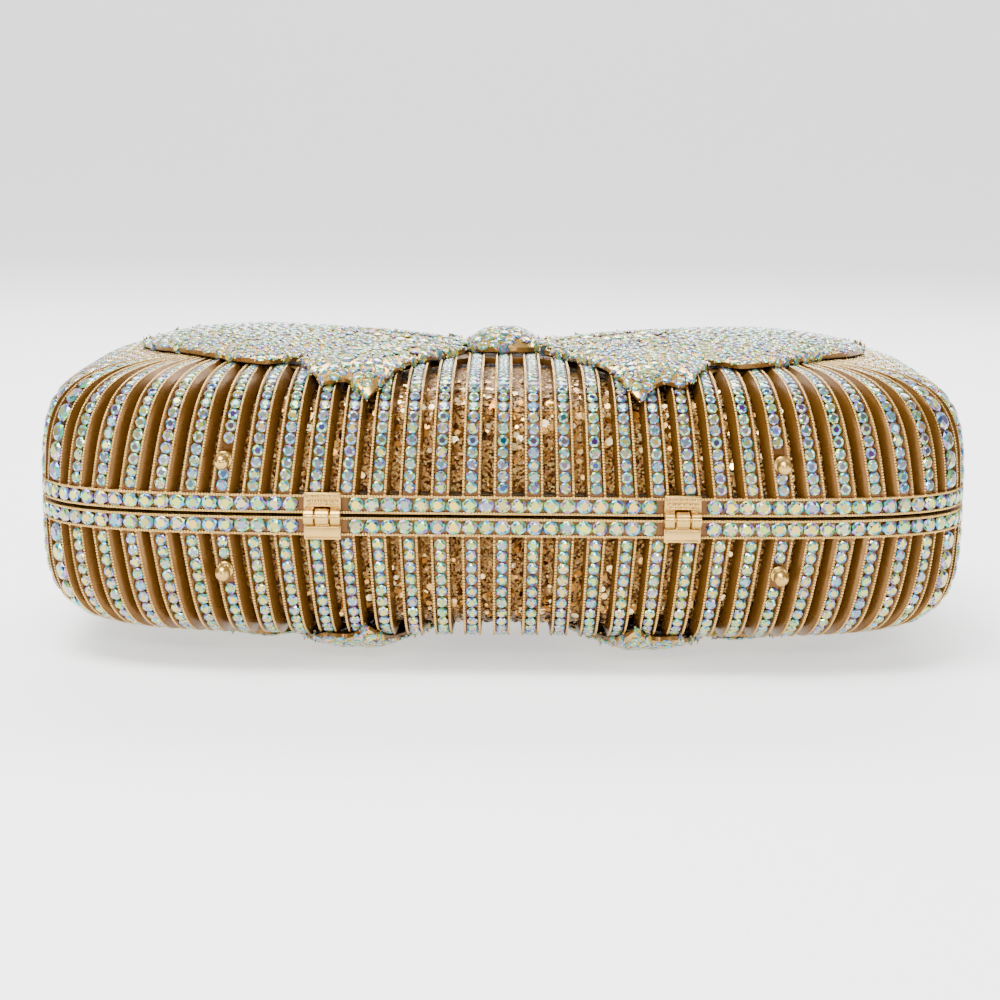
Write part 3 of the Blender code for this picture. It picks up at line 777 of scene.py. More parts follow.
# ========================================================================================
# Geometry Nodes
# ========================================================================================
@dataclass
class Spots:
    """Places for repeated shapes, each with the way it faces, its size and its tint."""

    place: Array
    up: Array
    along: Array
    size: Array
    tint: Array
    deep: Array

    @classmethod
    def join(cls, groups: Sequence["Spots"]) -> "Spots":
        """All the groups' spots as one."""
        return cls(*(np.concatenate(parts) for parts in zip(*(vars(group).values() for group in groups))))

    def where(self, mask: Array) -> "Spots":
        """Only the spots that the mask keeps."""
        return Spots(*(values[mask] for values in vars(self).values()))

    def in_half(self, form: CaseForm, half: Half) -> "Spots":
        """The spots moved from rises to where their half is."""
        return Spots(form.placed(self.place, half), form.turned(self.up, half),
                     form.turned(self.along, half), self.size, self.tint, self.deep)

    def mesh(self, name: str) -> bpy.types.Mesh:
        """Loose points that carry the numbers as attributes."""
        mesh = bpy.data.meshes.new(name)
        mesh.from_pydata(self.place.tolist(), [], [])
        for label, values in (("up", self.up), ("along", self.along)):
            layer = mesh.attributes.new(label, "FLOAT_VECTOR", "POINT")
            layer.data.foreach_set("vector", np.ascontiguousarray(values, np.float32).ravel())
        for label, values in (("size", self.size), ("tint", self.tint), ("deep", self.deep)):
            layer = mesh.attributes.new(label, "FLOAT", "POINT")
            layer.data.foreach_set("value", np.ascontiguousarray(values, np.float32))
        return mesh


class Grower:
    """Builds a Geometry Nodes tree once, and turns its result into plain meshes."""

    name = "grower"

    def __init__(self) -> None:
        """Makes the tree with its named inputs."""
        tree = bpy.data.node_groups.new(self.name, "GeometryNodeTree")
        tree.interface.new_socket("Geometry", in_out="INPUT", socket_type="NodeSocketGeometry")
        for label, kind in self.inputs():
            tree.interface.new_socket(label, in_out="INPUT", socket_type=kind)
        tree.interface.new_socket("Geometry", in_out="OUTPUT", socket_type="NodeSocketGeometry")
        self.tree = tree
        nodes = NodeTree(tree)
        start = tree.nodes.new("NodeGroupInput")
        given = {socket.name: Wire(nodes, socket) for socket in start.outputs if socket.name}
        end = tree.nodes.new("NodeGroupOutput")
        nodes.link_out(end, "Geometry", self.fill(nodes, given))

    def inputs(self) -> list[tuple[str, str]]:
        """(label, socket type) of each input after the geometry."""
        raise NotImplementedError

    def fill(self, nodes: NodeTree, given: dict[str, Wire]) -> Wire:
        """Adds the nodes and returns the geometry to put out."""
        raise NotImplementedError

    def grow(self, name: str, mesh: bpy.types.Mesh, **values: object) -> bpy.types.Mesh:
        """Runs the tree on a mesh.

        Args:
            name: name of the new mesh.
            mesh: what the tree starts from.
            **values: the named inputs, with spaces as underscores.

        Returns:
            The result as a plain mesh.
        """
        obj = bpy.data.objects.new(name, mesh)
        bpy.context.scene.collection.objects.link(obj)
        modifier = obj.modifiers.new("grow", "NODES")
        modifier.node_group = self.tree
        for item in self.tree.interface.items_tree:
            key = item.name.lower().replace(" ", "_")
            if item.in_out == "INPUT" and key in values:
                modifier[item.identifier] = values[key]
        graph = bpy.context.evaluated_depsgraph_get()
        made = bpy.data.meshes.new_from_object(obj.evaluated_get(graph), depsgraph=graph)
        bpy.data.objects.remove(obj)
        made.name = name
        return made


class ShapesOnSpots(Grower):
    """Sets a copy of a shape on every spot, turned and sized as the spot says."""

    name = "shapes_on_spots"

    def inputs(self) -> list[tuple[str, str]]:
        """The shape, a size for all, and the material."""
        return [("Shape", "NodeSocketObject"), ("Scale", "NodeSocketFloat"),
                ("Material", "NodeSocketMaterial")]

    def fill(self, nodes: NodeTree, given: dict[str, Wire]) -> Wire:
        """Instance on Points with a turn made of the spot's two directions."""
        up, along = (nodes.add("GeometryNodeInputNamedAttribute", {"data_type": "FLOAT_VECTOR"},
                               {"Name": label}, "Attribute") for label in ("up", "along"))
        size = nodes.add("GeometryNodeInputNamedAttribute", {"data_type": "FLOAT"},
                         {"Name": "size"}, "Attribute")
        turn = nodes.add("FunctionNodeAxesToRotation", {"primary_axis": "Z", "secondary_axis": "X"},
                         {"Primary Axis": up, "Secondary Axis": along}, "Rotation")
        shape = nodes.add("GeometryNodeObjectInfo", None, {"Object": given["Shape"]}, "Geometry")
        copies = nodes.add("GeometryNodeInstanceOnPoints", None,
                           {"Points": given["Geometry"], "Instance": shape, "Rotation": turn,
                            "Scale": size * given["Scale"]}, "Instances")
        real = nodes.add("GeometryNodeRealizeInstances", None, {"Geometry": copies}, "Geometry")
        return nodes.add("GeometryNodeSetMaterial", None,
                         {"Geometry": real, "Material": given["Material"]}, "Geometry")


class EvenSpread(Grower):
    """Scatters points over a surface, then lets them push each other apart until even."""

    name = "even_spread"
    rounds = 60

    def inputs(self) -> list[tuple[str, str]]:
        """The pitch, and the seed of the first scatter."""
        return [("Pitch", "NodeSocketFloat"), ("Seed", "NodeSocketInt")]

    def fill(self, nodes: NodeTree, given: dict[str, Wire]) -> Wire:
        """A Poisson scatter, a repeat of push and settle, and the surface's normal."""
        pitch = given["Pitch"]
        scatter = nodes.add(
            "GeometryNodeDistributePointsOnFaces", {"distribute_method": "POISSON"},
            {"Mesh": given["Geometry"], "Distance Min": pitch * 0.80,
             "Density Max": 4.0 / (pitch * pitch), "Seed": given["Seed"]}, "Points")
        start = nodes.tree.nodes.new("GeometryNodeRepeatInput")
        end = nodes.tree.nodes.new("GeometryNodeRepeatOutput")
        start.pair_with_output(end)
        start.inputs["Iterations"].default_value = self.rounds
        nodes.link_out(start, "Geometry", scatter)
        moving = Wire(nodes, start.outputs["Geometry"])
        here = nodes.add("GeometryNodeInputPosition")
        nearest = nodes.add("GeometryNodeIndexOfNearest", None, {"Position": here}, "Index")
        there = nodes.add("GeometryNodeFieldAtIndex",
                          {"data_type": "FLOAT_VECTOR", "domain": "POINT"},
                          {"Index": nearest, "Value": here}, "Value")
        away = nodes.add("ShaderNodeVectorMath", {"operation": "SUBTRACT"}, {0: here, 1: there},
                         "Vector")
        gap = nodes.add("ShaderNodeVectorMath", {"operation": "LENGTH"}, {0: away}, "Value")
        way = nodes.add("ShaderNodeVectorMath", {"operation": "NORMALIZE"}, {0: away}, "Vector")
        push = nodes.add("ShaderNodeVectorMath", {"operation": "SCALE"},
                         {0: way, "Scale": (pitch - gap).at_least(0.0) * 0.45}, "Vector")
        pushed = nodes.add("GeometryNodeSetPosition", None,
                           {"Geometry": moving, "Offset": push}, "Geometry")
        settle = nodes.add("GeometryNodeProximity", {"target_element": "FACES"},
                           {0: given["Geometry"]}, "Position")
        settled = nodes.add("GeometryNodeSetPosition", None,
                            {"Geometry": pushed, "Position": settle}, "Geometry")
        nodes.link_out(end, "Geometry", settled)
        even = Wire(nodes, end.outputs["Geometry"])
        square = nodes.add("GeometryNodeSampleNearestSurface", {"data_type": "FLOAT_VECTOR"},
                           {"Mesh": given["Geometry"],
                            "Value": nodes.add("GeometryNodeInputNormal")}, "Value")
        told = nodes.add("GeometryNodeStoreNamedAttribute",
                         {"data_type": "FLOAT_VECTOR", "domain": "POINT"},
                         {"Geometry": even, "Name": "up", "Value": square}, "Geometry")
        return nodes.add("GeometryNodePointsToVertices", None, {"Points": told}, "Mesh")


@dataclass
class Workshop:
    """The growers and the small shapes, shared by every sub-assembly."""

    setter: ShapesOnSpots = field(default_factory=ShapesOnSpots)
    spreader: EvenSpread = field(default_factory=EvenSpread)
    stone: bpy.types.Object = field(default_factory=lambda: CutStone().build())
    bead: bpy.types.Object = field(default_factory=bead_shape)
    claws: bpy.types.Object = field(default_factory=claw_shape)
    flake: bpy.types.Object = field(default_factory=flake_shape)

    def set_shapes(self, name: str, spots: Spots, shape: bpy.types.Object, finish: Finish,
                   scale: float = 1.0, smooth: bool = False) -> bpy.types.Object:
        """Sets a shape on spots as one finished piece.

        Args:
            name: the piece's name.
            spots: where the copies go.
            shape: what is copied.
            finish: the piece's finish.
            scale: size for all, on top of each spot's own.
            smooth: whether the copies are shaded round instead of faceted.

        Returns:
            The piece.
        """
        mesh = self.setter.grow(name, spots.mesh(name + "_spots"), shape=shape, scale=scale,
                                material=finish.material())
        if smooth:
            mesh.shade_smooth()
        else:
            mesh.shade_flat()
        obj = bpy.data.objects.new(name, mesh)
        bpy.context.scene.collection.objects.link(obj)
        return obj

    def clear(self) -> None:
        """Removes the shapes that were only there to be copied."""
        for obj in (self.stone, self.bead, self.claws, self.flake):
            bpy.data.objects.remove(obj)


# ========================================================================================
# The bow's outlines
# ========================================================================================
def rounded(points: Sequence[tuple], count: int, pull: float = 0.35) -> Array:
    """A closed, gently rounded curve through points, as `count` places."""
    corners = np.array(points, float)
    position = np.arange(count) * len(corners) / count
    index, t = position.astype(int), (position % 1)[:, None]
    before, start, end, after = (corners[(index + i) % len(corners)] for i in (-1, 0, 1, 2))
    out, back = (end - before) * pull, (after - start) * pull
    return (start * (2 * t**3 - 3 * t**2 + 1) + out * (t**3 - 2 * t**2 + t)
            + end * (3 * t**2 - 2 * t**3) + back * (t**3 - t**2))


def inside(points: Array, polygon: Array) -> Array:
    """Whether each point lies in a polygon."""
    crossings = np.zeros(len(points), bool)
    x, y = points[:, 0], points[:, 1]
    for (x1, y1), (x2, y2) in zip(polygon, np.roll(polygon, -1, axis=0)):
        if y1 == y2:
            continue
        crossings ^= ((y1 > y) != (y2 > y)) & (x < (x2 - x1) * (y - y1) / (y2 - y1) + x1)
    return crossings


@dataclass(frozen=True)
class BowPlate:
    """One plate of a bow: its outline in plan, and how it swells off the case."""

    name: str
    outline: Array
    heart: tuple[float, float]
    swell: float
    edge: float
    folds: float = 0.0
    knot_way: float = 0.0
    fold_waves: float = 26
    fold_spread: float = 0.55

    def lift(self, reach: Array, turn: Array) -> Array:
        """Height off the case at a share of the way from heart to outline.

        Args:
            reach: 0 at the heart, 1 at the outline.
            turn: polar angle from the heart.

        Returns:
            The lifts.
        """
        dome = self.swell * (1 - reach**2.6)
        crease = self.folds * reach**1.5 * (1 - reach**6)
        off_knot = np.angle(np.exp(1j * (turn - self.knot_way)))
        near_knot = np.exp(-(off_knot / self.fold_spread) ** 2)
        return self.edge + dome + crease * near_knot * np.cos(self.fold_waves * turn)


@dataclass
class BowDesign:
    """Outlines and swells of the five plates, as hundredths of the right half's sizes."""

    loop: tuple = ((10.2, -10.3), (26.6, -32.4), (43.9, -54.3), (50.2, -63.8), (59.1, -53.4),
                   (69.0, -32.8), (76.8, -19.0), (81.8, 5.2), (75.9, 41.4), (60.1, 62.1),
                   (35.5, 46.6), (10.2, 13.8))
    tail: tuple = ((8.9, -20.7), (25.6, -37.9), (42.0, -59.0), (41.0, -72.4), (37.4, -87.9),
                   (32.7, -86.2), (27.6, -94.1), (24.2, -84.5), (19.7, -62.1), (13.4, -39.7))
    loop_heart: tuple = (51.2, 3.4)
    tail_heart: tuple = (27.6, -56.9)
    knot_half: tuple = (8.0, 10.5)
    around: int = 96

    def plates(self, form: CaseForm) -> list[BowPlate]:
        """The five plates on a case of this form."""
        turns = math.pi * (np.arange(16) + 0.5) / 8
        knot = np.stack([self.knot_half[0] * np.sign(np.cos(turns)) * np.abs(np.cos(turns)) ** 0.5,
                         self.knot_half[1] * np.sign(np.sin(turns)) * np.abs(np.sin(turns)) ** 0.5], -1)
        made = [BowPlate("bow_knot", rounded(knot, 48) * MM, (0, 0), 3.4 * MM, 1.1 * MM)]
        for side, hand in (("left", -1), ("right", 1)):
            flip = np.array([hand * form.half_length, form.half_width]) / 100
            way = math.pi if hand > 0 else 0.0
            made.append(BowPlate(
                f"bow_{side}_loop", rounded(self.loop, self.around) * flip,
                tuple(self.loop_heart * flip), 2.7 * MM, 1.0 * MM, 0.7 * MM, way))
            made.append(BowPlate(
                f"bow_{side}_tail", rounded(self.tail, self.around) * flip,
                tuple(self.tail_heart * flip), 1.8 * MM, 0.9 * MM, 0.35 * MM, way))
        return made


# ========================================================================================
# Sub-assemblies
# ========================================================================================
def box_corners(node: str) -> tuple[Array, Array]:
    """Low and high corner of a frame node's box."""
    low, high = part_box(node)
    return np.array(low), np.array(high)


def box_middle(node: str) -> Array:
    """Middle of a frame node's box."""
    low, high = box_corners(node)
    return (low + high) / 2


@dataclass
class CastHalf:
    """One cast half: rim band, ribs and the ledge under the bow, with their settings."""

    form: CaseForm
    half: Half
    shop: Workshop
    plates: list[BowPlate]
    wall: float = 1.8 * MM
    channel: float = 0.6 * MM
    shade_line: float = 0.35 * MM
    lip: float = 0.46 * MM
    rim_low: float = 0.4 * MM
    rim_high: float = 4.2 * MM
    rib_pitch: float = 6.55 * MM
    rib_width: float = 3.8 * MM
    ribs_each_way: int = 14
    side_ribs: int = 11
    side_rib_width: float = 6.2 * MM
    rib_tuck: float = 1.5 * MM
    least_keep: float = 0.12
    end_step: float = 0.12
    ledge: float = 5 * MM
    ledge_drop: float = 0.5 * MM
    ledge_lap: float = 0.01
    rib_stone: float = 2.62 * MM
    side_stone: float = 4.3 * MM
    least_stone: float = 1.6 * MM
    rim_stone: float = 3.5 * MM
    stone_spacing: float = 0.97
    stone_seat: float = 0.25 * MM
    proud_seat: float = 0.3 * MM
    bead: float = 0.54 * MM
    bead_spacing: float = 1.15
    hinge_clear: float = 5.4 * MM
    clasp_clear: float = 8.6 * MM
    foot_rise: float = 11.5 * MM
    foot_clear: float = 2.9 * MM
    seed: int = 11

    def __post_init__(self) -> None:
        """Works out where the ribs stand and where each one ends."""
        self.random = np.random.default_rng(self.seed + self.half.value)
        self.foot_x = box_middle(f"{self.half.label}_foot_right")[0]
        self.hinge_x = box_middle("hinge_right_pin")[0]
        girth = self.form.girth()
        long_side = np.arange(-self.ribs_each_way, self.ribs_each_way + 1) * self.rib_pitch
        end = (self.ribs_each_way + 0.5) * self.rib_pitch
        pitch = (girth / 2 - 2 * end) / self.side_ribs
        short_side = end + (np.arange(self.side_ribs) + 0.5) * pitch
        middles = np.concatenate([long_side, short_side, long_side + girth / 2, short_side + girth / 2])
        sides = np.tile(np.repeat([False, True], [len(long_side), len(short_side)]), 2)
        order = np.argsort(middles)
        self.middles, self.is_side = middles[order], sides[order]
        self.widths = np.where(self.is_side, self.side_rib_width, self.rib_width)
        found = np.array([self._end_keep(self.form.around(d)) for d in self.middles])
        keeps, ledges = found.T
        for _ in keeps:
            nearest = np.minimum(np.roll(keeps, 1), np.roll(keeps, -1))
            keeps = np.minimum(keeps, nearest + self.end_step)
        self.ends = np.stack([keeps, np.maximum(0.04, keeps - ledges)], -1)

    def _end_keep(self, angle: float) -> tuple[float, float]:
        """The keep at which a rib ends, and how much less the ledge beyond it keeps."""
        keeps = np.arange(1.0, self.least_keep, -0.005)
        leans = self.form.lean_at_keep(keeps)
        path = self.form.point(self.form.fanned(float(angle), leans), leans)[:, :2]
        covered = np.any([inside(path, plate.outline) for plate in self.plates], axis=0)
        keep = keeps[np.argmax(covered)] if covered.any() else self.least_keep
        x, y = self.form.outline(np.array([float(angle)]))[0]
        run = math.hypot(y, x * (1 - self.form.spine_share))
        return max(self.least_keep, keep - self.rib_tuck / run), self.ledge / run

    def _leans(self, index: int, count: int, from_rise: float) -> Array:
        """Leans along a rib from a rise to its end."""
        first = float(self.form.lean_at_rise(from_rise))
        return np.linspace(first, float(self.form.lean_at_keep(self.ends[index][0])), count)

    def _rib_point(self, angle: Array, lean: Array, inset: Array) -> Array:
        """Points of the lines that leave the mouth at these angles."""
        return self.form.point(self.form.fanned(angle, lean), lean, inset)

    def _across(self, index: int, offset: float) -> float:
        """Polar angle of the line that runs `offset` beside a rib's middle at the mouth."""
        return float(self.form.around(self.middles[index] + offset))

    def cast_body(self) -> bpy.types.Object:
        """The casting: channelled ribs, the channelled rim band and the ledge."""
        draft = MeshDraft()
        for index, width in enumerate(self.widths):
            edge, lip = width / 2, self.lip
            # third value of each section point is painted shade and tarnish: dark channel floor, dark lips beside
            # the beads, dark walls
            half_section = [(edge - lip - 0.06 * MM, self.channel, 1.0), (edge - lip, 0.0, 0.95),
                            (edge, 0.0, 0.95), (edge, self.shade_line, 0.9), (edge, self.wall, 1.0)]
            section = [(-offset, inset, shade) for offset, inset, shade in reversed(half_section)]
            section += half_section
            leans = self._leans(index, 22, self.rim_high - 0.3 * MM)
            angles = np.array([self._across(index, offset) for offset, _, _ in section])
            insets = np.array([inset for _, inset, _ in section])
            shades = [shade for _, _, shade in section]
            rings = self._rib_point(angles[None, :], leans[:, None], insets[None, :])
            draft.loft(self.form.placed(rings, self.half), recess=shades)
        # painted shade and tarnish on the rim band's channel and walls, and on the ledge under the bow
        draft.loft(self._rim_rings(), True, (0.4, 0.8, 1.0, 1.0, 0.8, 0.5, 1.0, 0.6))
        draft.loft(self._ledge_rings(), True, (0.7, 1.0, 1.0, 1.0))
        return draft.build(f"{self.half.label}_cast_body", GOLD, 35)

    def _rim_rings(self) -> Array:
        """Sections of the rim band, all the way round."""
        low, high, lip = self.rim_low, self.rim_high, self.lip
        section = [(low, 0.0), (low + lip, 0.0), (low + lip, self.channel),
                   (high - lip, self.channel), (high - lip, 0.0), (high, 0.0),
                   (high, self.wall), (low, self.wall)]
        angles = self.form.around(np.linspace(0, self.form.girth(), 360, endpoint=False))
        rises = np.array([rise for rise, _ in section])
        insets = np.array([inset for _, inset in section])
        leans = self.form.lean_at_rise(rises, 0.0)
        rings = self.form.point(angles[:, None], leans[None, :], insets[None, :])
        rings[..., 2] = rises[None, :]
        return self.form.placed(rings, self.half)

    def _ledge_rings(self) -> Array:
        """Sections of the ledge that the ribs end on, under the bow."""
        rings = []
        insets = np.array([self.ledge_drop, self.ledge_drop, self.wall, self.wall])
        for index, width in enumerate(self.widths):
            end, below = (float(self.form.lean_at_keep(keep)) for keep in self.ends[index])
            leans = np.array([end - self.ledge_lap, below, below, end - self.ledge_lap])
            for offset in (-width / 2, width / 2):
                rings.append(self._rib_point(self._across(index, offset), leans, insets))
        return self.form.placed(np.array(rings), self.half)

    def _line(self, angle: float, leans: Array, inset: float) -> tuple[Array, Array]:
        """Points along a rib's line and the distance run at each."""
        points = self._rib_point(angle, leans, inset)
        run = np.concatenate([[0], np.cumsum(np.linalg.norm(np.diff(points, axis=0), axis=1))])
        return points, run

    def _spots(self, angle: Array, lean: Array, inset: float, size: Array, deep: Array) -> Spots:
        """Spots on the case at angles and leans, each turned by chance."""
        count = len(angle)
        angle = self.form.fanned(angle, lean)
        place = self.form.point(angle, lean, inset)
        up = self.form.square(angle, lean, inset)
        spin = self.random.random(count) * 2 * math.pi
        flat = np.stack([np.cos(spin), np.sin(spin), np.zeros(count)], -1)
        along = np.cross(up, flat + np.array([0, 0, 0.3]))
        return Spots(place, up, along, size, self.random.random(count), deep)

    def rib_stones(self) -> Spots:
        """A row of stones down each rib, larger at the bag's ends and smaller where a rib narrows."""
        probe = 1 * MM
        rows = []
        for index, side in enumerate(self.is_side):
            angle = self._across(index, 0)
            leans = self._leans(index, 160, self.rim_high + 0.3 * MM)
            _, run = self._line(angle, leans, self.channel)
            wide = np.linalg.norm(self._rib_point(self._across(index, -probe), leans, 0.0)
                                  - self._rib_point(self._across(index, probe), leans, 0.0), axis=1)
            stone = self.side_stone if side else self.rib_stone
            sizes = np.maximum(stone * np.minimum(wide / (2 * probe), 1), self.least_stone)
            at, places = 0.0, []
            while at < run[-1]:
                size = float(np.interp(at, run, sizes))
                places.append((at + size / 2, size))
                at += size * self.stone_spacing
            distance, size = np.array(places).T
            lean = np.interp(distance, run, leans)
            # painted shade: the front half's tables lean to the shaded palette, the back half's to the lit one
            shade = 0.85 if self.half is Half.FRONT else 0.25
            deep = np.clip(shade * (0.3 + 1.1 * self.random.random(len(lean))), 0, 1)
            seat = self.proud_seat if side else self.stone_seat
            rows.append(self._spots(np.full(len(lean), angle), lean, seat, size, deep))
        spots = Spots.join(rows)
        beside = np.hypot(np.abs(spots.place[:, 0]) - self.foot_x, spots.place[:, 2] - self.foot_rise)
        return spots.where((beside > self.foot_clear) | (spots.place[:, 1] > 0))

    def rim_stones(self) -> Spots:
        """The row of larger stones round the rim, stopped at the hinges and the clasp."""
        count = round(self.form.girth() / (self.rim_stone * self.stone_spacing))
        angle = self.form.around(np.arange(count) * self.form.girth() / count)
        rise = (self.rim_low + self.rim_high) / 2
        lean = np.full(count, float(self.form.lean_at_rise(rise)))
        deep = np.clip(self.random.random(count) - 0.35, 0, 1) * 0.7
        spots = self._spots(angle, lean, self.stone_seat, np.full(count, self.rim_stone), deep)
        x, y = spots.place[:, 0], spots.place[:, 1]
        at_hinge = (y < 0) & (np.abs(np.abs(x) - self.hinge_x) < self.hinge_clear)
        at_clasp = (y > 0) & (np.abs(x) < self.clasp_clear)
        return spots.where(~(at_hinge | at_clasp))

    def beads(self) -> Spots:
        """Beaded wire along both lips of every rib and of the rim band."""
        rows = []
        for index, width in enumerate(self.widths):
            for hand in (-1, 1):
                angle = self._across(index, hand * (width - self.lip) / 2)
                leans = self._leans(index, 120, self.rim_high)
                _, run = self._line(angle, leans, 0.0)
                distance = np.arange(0, run[-1], self.bead * self.bead_spacing)
                lean = np.interp(distance, run, leans)
                rows.append(self._bead_row(np.full(len(lean), angle), lean))
        for rise in (self.rim_low + self.lip / 2, self.rim_high - self.lip / 2):
            angle = self.form.around(np.arange(0, self.form.girth(), self.bead * self.bead_spacing))
            rows.append(self._bead_row(angle, np.full(len(angle), float(self.form.lean_at_rise(rise)))))
        return Spots.join(rows)

    def _bead_row(self, angle: Array, lean: Array) -> Spots:
        """Beads of one size at angles and leans."""
        count = len(angle)
        return self._spots(angle, lean, 0.0, np.full(count, self.bead), np.zeros(count))

    def build(self) -> None:
        """Makes the casting, its stones and its beads."""
        label, body = self.half.label, self.half.body
        hand_over(self.cast_body(), body, "gold_plate", f"{label}_casting")
        for name, spots in (("rib_crystals", self.rib_stones()), ("rim_crystals", self.rim_stones())):
            placed = spots.in_half(self.form, self.half)
            piece = self.shop.set_shapes(f"{label}_{name}", placed, self.shop.stone, CRYSTAL)
            hand_over(piece, body, "crystal_pave")
        beads = self.beads().in_half(self.form, self.half)
        piece = self.shop.set_shapes(f"{label}_beaded_wire", beads, self.shop.bead, GOLD, smooth=True)
        hand_over(piece, body, "gold_plate")


@dataclass
class NestedShells:
    """What lines a cast half: glitter backing with foil flakes, and the lining."""

    form: CaseForm
    half: Half
    shop: Workshop
    seat_gap: float = 0.8 * MM
    cast_wall: float = 1.8 * MM
    backing_wall: float = 1.2 * MM
    backing_from: float = 4.8 * MM
    lining_wall: float = 0.8 * MM
    lining_from: float = 0.8 * MM
    columns: int = 160
    rows: int = 26
    spine_gap: float = 0.02
    flakes: int = 5600
    flake_size: tuple[float, float] = (0.8 * MM, 1.9 * MM)
    flake_lift: float = 0.18 * MM
    flake_tilt: float = 0.7
    flakes_within: float = 52 * MM
    seed: int = 23

    def _shell(
        self, name: str, inset: float, rise: float, wall: float, finish: Finish
    ) -> bpy.types.Object:
        """A closed-over shell with an even wall."""
        angles = self.form.around(np.linspace(0, self.form.girth(), self.columns, endpoint=False))
        first = float(self.form.lean_at_rise(rise, inset))
        leans = np.linspace(first, QUARTER - self.spine_gap, self.rows)
        outer = self.form.point(angles[None, :], leans[:, None], inset)
        inner = self.form.point(angles[None, :], leans[:, None], inset + wall)
        inner[0, :, 2] = rise
        draft = MeshDraft()
        skin = np.concatenate([outer[::-1], inner])
        draft.loft(self.form.placed(skin, self.half))
        return draft.build(name, finish, 50)

    def flake_spots(self, inset: float) -> Spots:
        """Flakes lying on the backing at all tilts, thickest behind the middle ribs."""
        draw = np.random.default_rng(self.seed + self.half.value)
        count = self.flakes
        angle = self.form.around(draw.random(count) * self.form.girth())
        first = float(self.form.lean_at_rise(self.backing_from, inset))
        lean = first + (QUARTER * 0.86 - first) * draw.random(count)
        place = self.form.point(angle, lean, inset - self.flake_lift)
        up = self.form.square(angle, lean, inset) + self.flake_tilt * (draw.random((count, 3)) - 0.5)
        up /= np.linalg.norm(up, axis=1, keepdims=True)
        along = np.cross(up, draw.random((count, 3)) - 0.5)
        small, large = self.flake_size
        size = small + (large - small) * draw.random(count) ** 1.7
        middle = np.exp(-((place[:, 0] / self.flakes_within) ** 4))
        keep = draw.random(count) < 0.22 + 0.78 * middle
        return Spots(place, up, along, size, draw.random(count), np.zeros(count)).where(keep)

    def build(self) -> None:
        """Makes the backing, its flakes and the lining."""
        label, body = self.half.label, self.half.body
        inset = self.cast_wall + self.seat_gap
        backing = self._shell(f"{label}_glitter_cloth", inset, self.backing_from, self.backing_wall, GLITTER)
        hand_over(backing, body, "gold_glitter", f"{label}_glitter_backing")
        spots = self.flake_spots(inset).in_half(self.form, self.half)
        flakes = self.shop.set_shapes(f"{label}_foil_flakes", spots, self.shop.flake, FOIL)
        hand_over(flakes, body, "gold_glitter")
        inset += self.backing_wall + self.seat_gap
        lining = self._shell(f"{label}_lining_cloth", inset, self.lining_from, self.lining_wall, LINING)
        hand_over(lining, body, "champagne_lining", f"{label}_lining")


